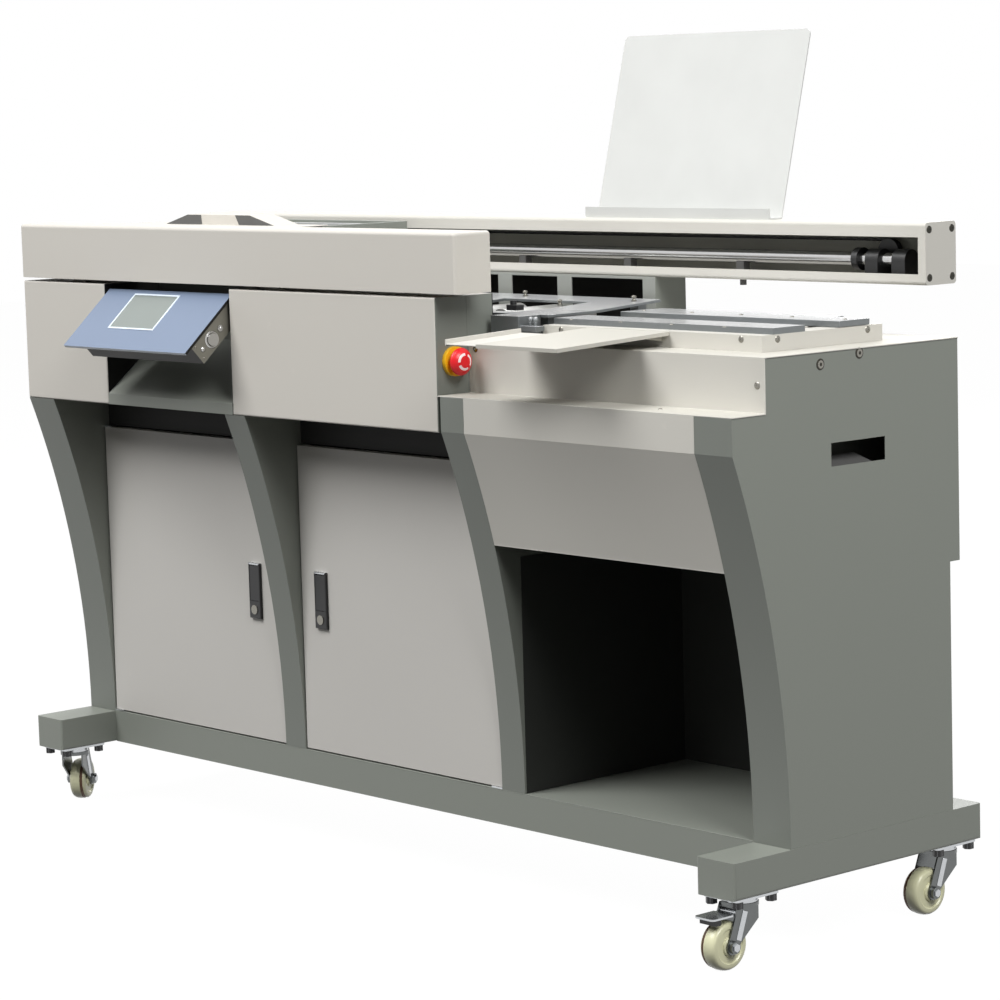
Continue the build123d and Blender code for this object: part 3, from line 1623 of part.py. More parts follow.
def all_pieces():
    pieces = cabinet_pieces()
    pieces.update(rail_pieces())
    pieces.update(working_pieces())
    pieces.update(fitted_pieces())
    pieces.update(caster_pieces())
    return pieces


def middle_shift(pieces):
    # Puts the origin under the middle of everything, on the floor
    boxes = [piece.bounding_box() for piece in pieces.values()]
    middle_x = (min(box.min.X for box in boxes) + max(box.max.X for box in boxes)) / 2
    middle_y = (min(box.min.Y for box in boxes) + max(box.max.Y for box in boxes)) / 2
    return Pos(-middle_x, -middle_y, 0)


os.makedirs("parts", exist_ok=True)
built = all_pieces()
shift = middle_shift(built)
print(len(built), "pieces moved by", shift.position.X, shift.position.Y)
for name, piece in built.items():
    export_step(shift * piece, "parts/" + name + ".step")
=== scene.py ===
import json
import math

import bmesh
import bpy
from mathutils import Matrix, Vector


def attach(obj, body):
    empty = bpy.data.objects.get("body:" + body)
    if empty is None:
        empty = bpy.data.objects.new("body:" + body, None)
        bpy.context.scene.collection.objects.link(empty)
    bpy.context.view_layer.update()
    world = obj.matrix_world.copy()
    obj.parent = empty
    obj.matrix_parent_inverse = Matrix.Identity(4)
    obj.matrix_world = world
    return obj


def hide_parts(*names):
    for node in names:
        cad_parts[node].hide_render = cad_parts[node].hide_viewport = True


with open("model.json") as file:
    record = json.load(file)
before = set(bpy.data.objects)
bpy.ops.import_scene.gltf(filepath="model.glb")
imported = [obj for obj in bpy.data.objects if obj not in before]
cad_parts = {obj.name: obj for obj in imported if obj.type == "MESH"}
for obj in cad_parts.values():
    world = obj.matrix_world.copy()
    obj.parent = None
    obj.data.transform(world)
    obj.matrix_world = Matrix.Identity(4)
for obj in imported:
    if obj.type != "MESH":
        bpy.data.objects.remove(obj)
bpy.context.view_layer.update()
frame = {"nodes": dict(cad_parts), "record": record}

bodyOf = {n: body for body, members in frame["record"]["behaviour"]["bodies"].items() for n in members}


# Shader maths: an expression on wrapped sockets adds its Math nodes

class Wire:
    def __init__(self, tree, out):
        self.tree = tree
        self.out = out

    def maths(self, kind, first, second):
        node = self.tree.nodes.new("ShaderNodeMath")
        node.operation = kind
        plug(self.tree, node.inputs[0], first)
        plug(self.tree, node.inputs[1], second)
        return Wire(self.tree, node.outputs[0])

    def __add__(self, other):
        return self.maths("ADD", self, other)

    def __radd__(self, other):
        return self.maths("ADD", other, self)

    def __sub__(self, other):
        return self.maths("SUBTRACT", self, other)

    def __rsub__(self, other):
        return self.maths("SUBTRACT", other, self)

    def __mul__(self, other):
        return self.maths("MULTIPLY", self, other)

    def __rmul__(self, other):
        return self.maths("MULTIPLY", other, self)

    def __pow__(self, other):
        return self.maths("POWER", self, other)

    def __gt__(self, other):
        return self.maths("GREATER_THAN", self, other)

    def __lt__(self, other):
        return self.maths("LESS_THAN", self, other)


def plug(tree, socket, value):
    if isinstance(value, Wire):
        tree.links.new(value.out, socket)
    elif isinstance(value, tuple) and len(socket.default_value) == 4:
        socket.default_value = (*value, 1.0)
    else:
        socket.default_value = value


class Finish:
    def __init__(self, name, slot=None, kind="materials", output="ShaderNodeOutputMaterial"):
        self.owner = getattr(bpy.data, kind).new(name)
        self.owner.use_nodes = True
        self.tree = self.owner.node_tree
        self.tree.nodes.clear()
        self.output = self.tree.nodes.new(output)

    def add(self, kind, settings=None, values=None, out=0):
        node = self.tree.nodes.new(kind)
        for key, value in (settings or {}).items():
            if key == "stops":
                for stop, (place, shade) in zip(node.color_ramp.elements, value):
                    stop.position = place
                    stop.color = (shade, shade, shade, 1.0)
            else:
                setattr(node, key, value)
        for key, value in (values or {}).items():
            plug(self.tree, node.inputs[key], value)
        return Wire(self.tree, node.outputs[out])

    def place(self):
        return self.add("ShaderNodeTexCoord", out="Object")

    def split(self, place):
        node = self.add("ShaderNodeSeparateXYZ", values={0: place}).out.node
        return [Wire(self.tree, out) for out in node.outputs]

    def stretched(self, scale, place):
        return self.add("ShaderNodeMapping", values={"Vector": place, "Scale": scale})

    def noise(self, place, scale, detail, rough=0.5):
        values = {"Vector": place, "Scale": scale, "Detail": detail, "Roughness": rough}
        return self.add("ShaderNodeTexNoise", values=values, out="Fac")

    def ramp(self, fac, low, high):
        return self.add("ShaderNodeValToRGB", {"stops": [(low, 0.0), (high, 1.0)]}, {"Fac": fac})

    def mix(self, fac, first, second):
        return self.add("ShaderNodeMix", {"data_type": "RGBA"}, {0: fac, 6: first, 7: second}, out=2)

    def bump(self, height, strength, depth):
        return self.add("ShaderNodeBump", values={"Height": height, "Strength": strength, "Distance": depth})

    def backdrop(self):   # 1 where the camera or a reflection looks, 0 for the light itself
        seen = self.add("ShaderNodeLightPath", out="Is Camera Ray")
        mirrored = self.add("ShaderNodeLightPath", out="Is Glossy Ray")
        return self.add("ShaderNodeMath", {"operation": "MAXIMUM"}, {0: seen, 1: mirrored})

    def shows(self, shader):
        self.tree.links.new(shader.out, self.output.inputs["Surface"])
        return self.owner

    def finish(self, **values):
        sockets = {key.replace("_", " "): value for key, value in values.items()}
        return self.shows(self.add("ShaderNodeBsdfPrincipled", values=sockets))


def shaded(colour, share):
    return tuple(min(1.0, part * share) for part in colour)


def linear(colour):   # colours are written as they look, and the shader wants them linear
    return tuple(part / 12.92 if part <= 0.04045 else ((part + 0.055) / 1.055) ** 2.4 for part in colour)


powderCoat = {
    "roughness": 0.46,
    "cloudScale": 5.0, "cloudDetail": 4.0, "cloudShade": 0.955, "cloudGloss": 0.10,
    "peelScale": 520.0, "peelDetail": 2.0, "peelDepth": 0.00012, "peelStrength": 0.35, "peelGloss": 0.08,
    "scuffStretch": (9.0, 120.0, 9.0), "scuffScale": 3.0, "scuffDetail": 5.0, "scuffStart": 0.72, "scuffFull": 0.85,
    "scuffShare": 0.25, "scuffShade": 1.25, "scuffGloss": 0.08,
}


def powderPaint(name, slot, colour, rough=0.0, shine=0.5):
    values = powderCoat
    f = Finish(name, slot)
    place = f.place()
    cloud = f.noise(place, values["cloudScale"], values["cloudDetail"])
    peel = f.noise(place, values["peelScale"], values["peelDetail"])
    scuff = f.noise(f.stretched(values["scuffStretch"], place), values["scuffScale"], values["scuffDetail"])
    scuff = f.ramp(scuff, values["scuffStart"], values["scuffFull"])
    tone = linear(colour)
    base = f.mix(cloud, shaded(tone, values["cloudShade"]), tone)
    base = f.mix(scuff * values["scuffShare"], base, shaded(tone, values["scuffShade"]))
    gloss = values["roughness"] + rough + (cloud - 0.5) * values["cloudGloss"]
    gloss = gloss + scuff * values["scuffGloss"] + (peel - 0.5) * values["peelGloss"]
    bump = f.bump(peel, values["peelStrength"], values["peelDepth"])
    return f.finish(Base_Color=base, Roughness=gloss, Specular_IOR_Level=shine, Normal=bump)


greyPaint = powderPaint("greyPaint", "grey_paint", (0.515, 0.53, 0.50))
# the grey paint darkened, painted shade: on the coves that face down and forward, and on the casing side
shadedGreyPaint = powderPaint("shadedGreyPaint", "grey_paint", (0.455, 0.47, 0.445))
# a mid grey on the pedestal: partly its own grey, partly painted shade under the beam
pedestalShadedPaint = powderPaint("pedestalShadedPaint", "beige_paint", (0.55, 0.56, 0.54))
# a near-black grey that stands for shade: painted shade in the console recess and the bay
paintedShade = powderPaint("paintedShade", "grey_paint", (0.19, 0.195, 0.185), 0.14, 0.2)
beigePaint = powderPaint("beigePaint", "beige_paint", (0.80, 0.785, 0.755))
# beige darkened where faces look up, painted shade against the top light; the cover tray has it all over
shadedTopBeige = powderPaint("shadedTopBeige", "beige_paint", (0.745, 0.735, 0.70), 0.1)
lightPaint = powderPaint("lightPaint", "beige_paint", (0.80, 0.79, 0.76))
doorPaint = powderPaint("doorPaint", "door_paint", (0.79, 0.78, 0.76))
# the beam's beige darkened for its inside, painted shade
beamInsideShade = powderPaint("beamInsideShade", "beige_paint", (0.58, 0.58, 0.55), 0.1)
# black paint: the motors' and nip guides' own colour, and painted shade on the header panel, the recess walls and
# inside the pedestal
darkPaintAndShade = powderPaint("darkPaintAndShade", "dark_paint", (0.075, 0.075, 0.07), 0.2, 0.2)
postGrey = powderPaint("postGrey", "dark_paint", (0.34, 0.34, 0.335), 0.1)


brushed = {
    "sheetGrain": (6.0, 900.0, 900.0), "barGrain": (900.0, 6.0, 6.0), "plateGrain": (160.0, 160.0, 160.0),
    "shadedSideGrain": (200.0, 200.0, 200.0), "castGrain": (220.0, 220.0, 220.0), "screwGrain": (400.0, 400.0, 400.0),
    "bushGrain": (600.0, 30.0, 30.0),
    "streakDetail": 6.0, "streakRough": 0.7, "darkStreak": 0.82, "paleStreak": 1.08,
    "smearScale": 7.0, "smearDetail": 4.0, "smearShare": 0.35, "smearShade": 0.88, "smearGloss": 0.12,
    "strength": 0.3, "depth": 0.00004,
}


def brushedMetal(name, slot, colour, roughness, grain, swing=0.16, metal=1.0):
    values = brushed
    f = Finish(name, slot)
    place = f.place()
    streak = f.noise(f.stretched(values[grain], place), 1.0, values["streakDetail"], values["streakRough"])
    smear = f.noise(place, values["smearScale"], values["smearDetail"])
    tone = linear(colour)
    base = f.mix(streak, shaded(tone, values["darkStreak"]), shaded(tone, values["paleStreak"]))
    base = f.mix(smear * values["smearShare"], base, shaded(tone, values["smearShade"]))
    gloss = roughness + (streak - 0.5) * swing + (smear - 0.5) * values["smearGloss"]
    bump = f.bump(streak, values["strength"], values["depth"])
    return f.finish(Base_Color=base, Metallic=metal, Roughness=gloss, Normal=bump)


# ground steel, only partly metallic; its pale diffuse colour stands in for reflected light, a painted reflection
groundSteelSheen = brushedMetal("groundSteelSheen", "steel", (0.84, 0.845, 0.85), 0.24, "sheetGrain", metal=0.42)
barSteel = brushedMetal("barSteel", "chrome", (0.80, 0.80, 0.80), 0.16, "barGrain", 0.06)
zincPlate = brushedMetal("zincPlate", "zinc", (0.78, 0.79, 0.80), 0.26, "plateGrain")
castAluminium = brushedMetal("castAluminium", "aluminium", (0.72, 0.72, 0.71), 0.42, "castGrain")
bronze = brushedMetal("bronze", "brass", (0.72, 0.57, 0.33), 0.30, "bushGrain")
# steel darkened on faces that look forward and sideways, painted shade beside the bright tops
shadedSideSteel = brushedMetal("shadedSideSteel", "steel", (0.49, 0.505, 0.51), 0.42, "shadedSideGrain", metal=0.7)
# zinc darkened on the caster forks, painted shade for their dark reflections
forkShadeZinc = brushedMetal("forkShadeZinc", "zinc", (0.44, 0.45, 0.45), 0.30, "plateGrain")
darkScrew = brushedMetal("darkScrew", "steel", (0.26, 0.255, 0.235), 0.30, "screwGrain")
boltSteel = brushedMetal("boltSteel", "steel", (0.56, 0.55, 0.52), 0.26, "screwGrain")


moulded = {
    "grainDetail": 3.0, "grainStrength": 0.4, "grainGloss": 0.08,
    "cloudScale": 14.0, "cloudDetail": 4.0, "cloudDark": 0.93, "cloudPale": 1.03, "cloudGloss": 0.12,
}


def mouldedPlastic(name, slot, colour, roughness, grainScale=900.0, grainDepth=0.00003, shine=0.5):
    values = moulded
    f = Finish(name, slot)
    place = f.place()
    grain = f.noise(place, grainScale, values["grainDetail"])
    cloud = f.noise(place, values["cloudScale"], values["cloudDetail"])
    tone = linear(colour)
    base = f.mix(cloud, shaded(tone, values["cloudDark"]), shaded(tone, values["cloudPale"]))
    gloss = roughness + (cloud - 0.5) * values["cloudGloss"] + (grain - 0.5) * values["grainGloss"]
    bump = f.bump(grain, values["grainStrength"], grainDepth)
    return f.finish(Base_Color=base, Roughness=gloss, Specular_IOR_Level=shine, Normal=bump)


nylon = mouldedPlastic("nylon", "nylon", (0.86, 0.855, 0.715), 0.30)
treadBrown = mouldedPlastic("treadBrown", "nylon", (0.29, 0.18, 0.09), 0.55)
blackPlastic = mouldedPlastic("blackPlastic", "black_plastic", (0.07, 0.07, 0.075), 0.42)
yellowPlastic = mouldedPlastic("yellowPlastic", "yellow_plastic", (0.96, 0.74, 0.12), 0.30)
beltRubber = mouldedPlastic("beltRubber", "belt_rubber", (0.06, 0.06, 0.06), 0.70)
whiteSheet = mouldedPlastic("whiteSheet", "white_sheet", (0.80, 0.805, 0.795), 0.34, 700.0, 0.000008)
consolePlastic = mouldedPlastic("consolePlastic", "console_plastic", (0.12, 0.115, 0.11), 0.45, shine=0.2)
consoleBlue = mouldedPlastic("consoleBlue", "console_plastic", (0.46, 0.515, 0.605), 0.40, 600.0, 0.00001)
consoleEnd = mouldedPlastic("consoleEnd", "console_plastic", (0.46, 0.45, 0.41), 0.42)
screenGlass = mouldedPlastic("screenGlass", "console_plastic", (0.52, 0.55, 0.535), 0.16, 30.0, 0.00001)
screenFrame = mouldedPlastic("screenFrame", "console_plastic", (0.87, 0.91, 0.95), 0.30)


# Stop cap: red, with a ring of three pale arcs round its axis

stopCap = {
    "middleY": -0.1572345, "middleZ": 0.735, "inner": 0.0084, "outer": 0.0116,
    "arcs": 3.0, "arcTurn": 0.9, "arcGap": -0.78,
    "deepRed": (0.84, 0.02, 0.08), "red": (0.90, 0.03, 0.10), "pale": (0.95, 0.88, 0.88),
    "cloudScale": 40.0, "cloudDetail": 3.0, "roughness": 0.34, "cloudGloss": 0.08, "coat": 0.1,
}


def stopRed():
    values = stopCap
    f = Finish("stopRed", "red_plastic")
    place = f.place()
    x, y, z = f.split(place)
    y = y - values["middleY"]
    z = z - values["middleZ"]
    away = (y * y + z * z) ** 0.5
    ring = (away > values["inner"]) * (away < values["outer"])
    turn = f.add("ShaderNodeMath", {"operation": "ARCTAN2"}, {0: z, 1: y})
    wave = f.add("ShaderNodeMath", {"operation": "SINE"}, {0: turn * values["arcs"] + values["arcTurn"]})
    marks = ring * (wave > values["arcGap"])
    cloud = f.noise(place, values["cloudScale"], values["cloudDetail"])
    red = f.mix(cloud, linear(values["deepRed"]), linear(values["red"]))
    base = f.mix(marks, red, linear(values["pale"]))
    gloss = values["roughness"] + cloud * values["cloudGloss"]
    return f.finish(Base_Color=base, Roughness=gloss, Coat_Weight=values["coat"])


capRed = stopRed()
print("finishes made")


# Shapes are drawn in millimetres off the left foot's corner and brought into the frame at the end

moved = Vector((-752.2244, -199.2345, 0.0))
toFrame = Matrix.Translation(moved / 1000.0) @ Matrix.Scale(0.001, 4)
softEdge = {
    "weld": 0.00002, "sharp": 32.0, "segments": 2,   # metres, and degrees between faces
    "crease": 38.0, "level": 0.99999,                # a face straight along an axis stays flat
    "endDepth": 0.0001, "sameWay": 0.6,
}


def edgesOver(shape, degrees):
    limit = math.radians(degrees)
    return [e for e in shape.edges if len(e.link_faces) == 2 and e.calc_face_angle(0.0) > limit]


def rounded(shape, edges, offset, segments=2, clamped=False):
    bmesh.ops.bevel(
        shape, geom=edges, offset=offset, offset_type="OFFSET", affect="EDGES",
        segments=segments, profile=0.5, material=-1, clamp_overlap=clamped,
    )


def settled(name, shape, finishes, body):
    mesh = bpy.data.meshes.new(name)
    for face in shape.faces:
        face.smooth = max(abs(part) for part in face.normal) < softEdge["level"]
    for edge in edgesOver(shape, softEdge["crease"]):
        edge.smooth = False
    shape.to_mesh(mesh)
    shape.free()
    for finish in finishes:
        mesh.materials.append(finish)
    piece = bpy.data.objects.new(name, mesh)
    bpy.context.scene.collection.objects.link(piece)
    weight = piece.modifiers.new("even", "WEIGHTED_NORMAL")
    weight.keep_sharp = True
    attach(piece, body)
    return piece


def made(name, shape, finishes, body):
    bmesh.ops.transform(shape, matrix=toFrame, verts=shape.verts)
    return settled(name, shape, finishes, body)


def softened(node, finish, edge, zones, pulled):   # a merged copy of a node, rounded and painted in zones
    shape = bmesh.new()
    shape.from_mesh(frame["nodes"][node].data)
    bmesh.ops.remove_doubles(shape, verts=shape.verts, dist=softEdge["weld"])
    outer = max(v.co.x for v in shape.verts)
    for v in shape.verts:
        if v.co.x > outer - softEdge["endDepth"]:
            v.co.x -= pulled
    if edge:
        rounded(shape, edgesOver(shape, softEdge["sharp"]), edge, softEdge["segments"], True)
    for place, (zone, low, high, way) in enumerate(zones):
        low, high, way = toFrame @ Vector(low), toFrame @ Vector(high), Vector(way)
        for face in shape.faces:
            middle = face.calc_center_median()
            inside = all(low[k] <= middle[k] <= high[k] for k in range(3))
            if inside and (not way.length or face.normal.dot(way) > softEdge["sameWay"]):
                face.material_index = place + 1
    piece = settled(node + "_piece", shape, [finish] + [zone[0] for zone in zones], bodyOf[node])
    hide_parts(node)


def joined(shape, part, turn=None, skin=0):
    if turn:
        bmesh.ops.transform(part, matrix=turn, verts=part.verts)
    if skin:
        for face in part.faces:
            face.material_index = skin
    mesh = bpy.data.meshes.new("part")
    part.to_mesh(mesh)
    part.free()
    shape.from_mesh(mesh)
    bpy.data.meshes.remove(mesh)


def slab(low, high, edge=0.4, segments=2):
    part = bmesh.new()
    bmesh.ops.create_cube(part, size=1.0)
    middle = [(a + b) / 2 for a, b in zip(low, high)]
    size = [b - a for a, b in zip(low, high)]
    place = Matrix.Translation(middle) @ Matrix.Diagonal((*size, 1.0))
    bmesh.ops.transform(part, matrix=place, verts=part.verts)
    if edge:
        rounded(part, part.edges[:], edge, segments)
    return part


def turned(profile, steps=28):
    part = bmesh.new()
    verts = [part.verts.new((radius, 0.0, height)) for radius, height in profile]
    edges = [part.edges.new(pair) for pair in zip(verts, verts[1:])]
    bmesh.ops.spin(
        part, geom=verts + edges, cent=(0, 0, 0), axis=(0, 0, 1), dvec=(0, 0, 0),
        angle=math.tau, steps=steps, use_merge=True, use_duplicate=False,
    )
    bmesh.ops.remove_doubles(part, verts=part.verts, dist=0.001)   # closes the poles
    bmesh.ops.recalc_face_normals(part, faces=part.faces)
    return part


def hexBar(radius, height, edge=0.5):
    part = bmesh.new()
    bmesh.ops.create_cone(part, cap_ends=True, segments=6, radius1=radius, radius2=radius, depth=height)
    bmesh.ops.translate(part, vec=(0, 0, height / 2), verts=part.verts)
    rounded(part, [e for e in part.edges if all(v.co.z > height * 0.9 for v in e.verts)], edge)
    return part


def facing(axis, place):
    return Matrix.Translation(place) @ Vector(axis).to_track_quat("Z", "Y").to_matrix().to_4x4()


across, upward, forward, backward, leftward = (1, 0, 0), (0, 0, 1), (0, -1, 0), (0, 1, 0), (-1, 0, 0)
downward, anyWay = (0, 0, -1), (0, 0, 0)
coveWay = (0, -0.9, -0.436)
recessFloor = (0, -0.625, 0.78)
everything = ((-50, -150, 0), (1600, 600, 1300))
consoleTurn = Matrix.Translation((0.0, 20.6, 814.0)) @ Matrix.Rotation(math.radians(42.0), 4, "X")
consoleUp = tuple(consoleTurn.to_3x3() @ Vector(upward))
consoleLow = tuple(consoleTurn.to_3x3() @ Vector(forward))


# Nodes drawn again with soft edges, and in zones: finish, lowest and highest corner, and the way the faces look

softNodes = {
    "door_left": doorPaint, "door_right": doorPaint, "right_end_wall": greyPaint, "beam_housing": lightPaint,
    "cabinet_floor": greyPaint, "left_end_wall": greyPaint, "dividers": greyPaint, "base_frame": greyPaint,
    # header_panel: near-black, painted shade in the gap above the doors
    "header_panel": darkPaintAndShade, "front_cover_left": beigePaint, "front_cover_right": beigePaint,
    # console_recess: near-black all over, painted shade, except its floor zone
    "console_recess": paintedShade, "head_cover": beigePaint, "rear_panel": greyPaint, "left_deck": beigePaint,
    "deck_cover": lightPaint, "control_gear": castAluminium, "beam_pedestal": pedestalShadedPaint,
    "carriage_motor": darkPaintAndShade, "carriage_frame": greyPaint, "carriage_cover": beigePaint,
    "bookrest": whiteSheet, "processing_table": groundSteelSheen, "glue_pot": castAluminium, "nip_base": lightPaint,
    "nip_fixed_bars": groundSteelSheen, "nip_jaw": groundSteelSheen, "nip_table": groundSteelSheen, "cover_tray": shadedTopBeige,
    "tray_side_guide": lightPaint, "lock_lever_left": blackPlastic, "lock_lever_right": blackPlastic,
    "console": consolePlastic, "clamp_jaw": groundSteelSheen, "milling_disc": groundSteelSheen, "brake_pedal": zincPlate,
    "rod_supports": postGrey, "caster_fork_left_front": forkShadeZinc, "caster_fork_left_rear": forkShadeZinc,
    "caster_fork_right_front": forkShadeZinc, "caster_fork_right_rear": forkShadeZinc,
}
edgeOf = {"door_left": 0.0, "door_right": 0.0, "right_end_wall": 0.0006, "beam_housing": 0.0006}
plainEdge = 0.0005
pulledOf = {"right_end_wall": 0.0012, "beam_housing": 0.0012}   # room for the screw heads on their ends
# steel faces that look forward or sideways in the darkened steel, painted shade
shadedSideFaces = [(shadedSideSteel, *everything, forward), (shadedSideSteel, *everything, across)]
# coves of the walls and dividers in the darkened grey, painted shade
shadedCoveFaces = [(shadedGreyPaint, *everything, coveWay)]
zonesOf = {
    "right_end_wall": shadedCoveFaces, "left_end_wall": shadedCoveFaces, "dividers": shadedCoveFaces,
    "nip_fixed_bars": shadedSideFaces, "nip_jaw": shadedSideFaces, "processing_table": shadedSideFaces,
    # inside of the beam in the darkened beige, painted shade
    "beam_housing": [(beamInsideShade, (2.2, 373.2, 831.8), (1517.8, 428.2, 908.2), anyWay)],
    # the recess's left wall in dark paint, painted shade
    "front_cover_left": [(darkPaintAndShade, (212, 13, 642), (215, 115, 820), across)],
    "front_cover_right": [
        # the casing side: grey paint, darkened as painted shade
        (shadedGreyPaint, (972, 9, 640), (974, 115, 823), across),
        # the recess's right wall in dark paint, painted shade
        (darkPaintAndShade, (520, 13, 642), (522, 115, 820), leftward),
    ],
    "console_recess": [(greyPaint, (214, 11, 640), (522, 114, 760), recessFloor)],
    "console": [
        (consoleBlue, *everything, consoleUp),
        (consoleEnd, (514.5, -120, 700), (515.5, 60, 820), across),
        (screenFrame, (216, -68, 730), (519, -60, 742), consoleLow),
    ],
    "beam_pedestal": [
        # inside the windows in dark paint and the end face in grey: painted shade
        (darkPaintAndShade, (1.5, 372.5, 759), (1023.5, 429.5, 828), anyWay),
        (greyPaint, (1024, 371, 759), (1026, 432, 830), across),
    ],
    "rod_supports": [(blackPlastic, (1340, 370, 815), (1520, 430, 905), anyWay)],
    # deck faces that look up in the darkened beige, painted shade
    "deck_cover": [(shadedTopBeige, *everything, upward)],
    "brake_pedal": [(blackPlastic, (1465, -30, 55), (1510, 40, 69.4), anyWay)],
}
for door, x in {"door_left": 440.0, "door_right": 595.5}.items():   # each lock's plate, bright rim and cylinder
    zonesOf[door] = [
        (blackPlastic, (x - 14, 97, 325), (x + 14, 104.8, 410), anyWay),
        (zincPlate, (x - 14, 97, 405.8), (x + 14, 104.8, 410), anyWay),
        (boltSteel, (x - 7.5, 97, 330), (x + 7.5, 99.6, 349), anyWay),
    ]
for node, finish in softNodes.items():
    softened(node, finish, edgeOf.get(node, plainEdge), zonesOf.get(node, []), pulledOf.get(node, 0.0))


# Nodes that stay as the CAD has them, in a new finish

plainNodes = {
    "guide_rod": barSteel, "drive_belt": beltRubber, "drive_pulley": blackPlastic, "idler_pulley": blackPlastic,
    "carriage_bushings": bronze, "milling_motor": darkPaintAndShade, "glue_roller_left": castAluminium,
    "glue_roller_right": castAluminium, "nip_guides": darkPaintAndShade, "door_hinges": zincPlate,
    "estop_base": yellowPlastic, "estop_stem": blackPlastic, "estop_cap": capRed, "console_button": barSteel,
    "caster_plates": zincPlate,
}
for node, finish in plainNodes.items():
    skins = frame["nodes"][node].data.materials
    for place in range(len(skins)):
        skins[place] = finish
    if not skins:
        skins.append(finish)
print("nodes dressed")


# Dome screws with a round recess, in rows by the node they sit on

screwShape = {
    "rise": 0.5, "tallest": 1.15, "recess": 0.24, "depth": 0.5, "recessFoot": 0.8, "steps": 20,
    "dome": ((1.0, 0.0), (1.0, 0.18), (0.92, 0.5), (0.7, 0.85)),   # shares of the radius and of the rise
    "lip": ((1.3, 1.0), (1.0, 0.94)),                              # shares of the recess and of the rise
    # shares of the radius where a wall screw's dome is drawn in bright steel, a painted highlight
    "crown": (0.3, 0.62),
}
screwRows = {
    "beam_end_screws": {
        "on": "base_frame", "finish": darkScrew, "way": across, "radius": 5.0,
        "places": [(1518.8, y, z) for y in (378.5, 422.5) for z in (839.2, 900.8)],
    },
    "wall_screws": {
        # dark screws with a bright ring on each dome, a painted highlight
        "on": "base_frame", "finish": darkScrew, "crown": boltSteel, "way": across, "radius": 7.4,
        "places": [(1518.8, 171.0, 744.0), (1518.8, 243.0, 753.0)],
    },
    "riser_screws": {
        "on": "base_frame", "finish": boltSteel, "way": forward, "radius": 4.8,
        "places": [(1507.0, 70.0, 725.0), (986.7, 70.0, 750.0)],
    },
    "shelf_screws": {
        "on": "base_frame", "finish": boltSteel, "way": upward, "radius": 3.0, "places": [(1365.6, 42.0, 691.0)],
    },
    "nip_base_screws": {
        "on": "nip_base", "finish": boltSteel, "way": across, "radius": 4.6,
        "places": [(1465.0, 152.0, 774.8), (1465.0, 319.0, 775.5)],
    },
    "nip_front_screws": {
        "on": "nip_base", "finish": boltSteel, "way": forward, "radius": 4.4,
        "places": [(1429.7, 123.0, 775.4), (1099.0, 123.0, 775.4)],
    },
    "nip_rim_screws": {
        "on": "nip_base", "finish": boltSteel, "way": upward, "radius": 2.8,
        "places": [(x, 128.0, 789.0) for x in (1114.0, 1208.0, 1302.0, 1396.0)],
    },
    "nip_jaw_screws": {
        "on": "nip_jaw", "finish": boltSteel, "way": upward, "radius": 2.8,
        "places": [(x, 295.0, 789.6) for x in (1080.0, 1172.0, 1264.0, 1356.0, 1448.0)],
    },
}


def domeScrew(radius):
    values = screwShape
    rise = min(radius * values["rise"], values["tallest"])
    hole = radius * values["recess"]
    floor = rise * (1.0 - values["depth"])
    profile = [(radius * out, rise * up) for out, up in values["dome"]]
    profile += [(hole * out, rise * up) for out, up in values["lip"]]
    return turned(profile + [(hole * values["recessFoot"], floor), (0.0, floor)], values["steps"])


def screwRow(name, row):
    shape = bmesh.new()
    radius, crown = row["radius"], row.get("crown")
    start, end = (radius * share for share in screwShape["crown"])
    for place in row["places"]:
        part = domeScrew(radius)
        for face in part.faces:
            middle = face.calc_center_median()
            if crown and start < math.hypot(middle.x, middle.y) < end:
                face.material_index = 1
        joined(shape, part, facing(row["way"], place))
    made(name, shape, [row["finish"], crown or row["finish"]], bodyOf[row["on"]])


for name, row in screwRows.items():
    screwRow(name, row)


# Caster bolts: the places are x, y and the fork's heading, and the wheels below share them

casterPlaces = {
    "left_front": (33.0, 45.0, 128.0), "left_rear": (33.0, 422.0, 250.0),
    "right_front": (1487.0, 45.0, -90.0), "right_rear": (1487.0, 422.0, -90.0),
}
casterBolt = {"head": 7.5, "height": 9.4, "top": 90.0, "offX": 22.5, "offY": 30.0}


def casterBolts():
    values = casterBolt
    shape = bmesh.new()
    for middleX, middleY, heading in casterPlaces.values():
        for x in (middleX - values["offX"], middleX + values["offX"]):
            for y in (middleY - values["offY"], middleY + values["offY"]):
                joined(shape, hexBar(values["head"], values["height"]), facing(downward, (x, y, values["top"])))
    made("caster_bolts", shape, [blackPlastic], bodyOf["base_frame"])


casterBolts()


# A seam line, and near-black sheets that line the bay as painted shade: finish, lowest and highest corner

seamAndShadeSheets = {
    # the seam line on the casing side, in the same darkened grey
    "casing_seam": (shadedGreyPaint, (972.8, 67.6, 642.0), (973.35, 69.0, 821.0)),
    "bay_shade_sheet_left": (paintedShade, (1024.6, 106.0, 143.0), (1025.4, 410.0, 468.0)),
    "bay_shade_sheet_right": (paintedShade, (1453.1, 106.0, 143.0), (1453.9, 410.0, 468.0)),
    "bay_shade_sheet_back": (paintedShade, (1025.4, 409.4, 143.0), (1453.1, 410.3, 468.0)),
}
seamEdge = 0.15
for name, (finish, low, high) in seamAndShadeSheets.items():
    shape = bmesh.new()
    joined(shape, slab(low, high, seamEdge, 1))
    made(name, shape, [finish], bodyOf["base_frame"])


# Cup behind the hand slot in the right wall

cup = {"place": (1517.5, 0.0, 613.2), "tilt": 17.0, "low": (-36.0, 190.0, -1.0), "high": (0.0, 268.0, 0.0), "edge": 0.3}


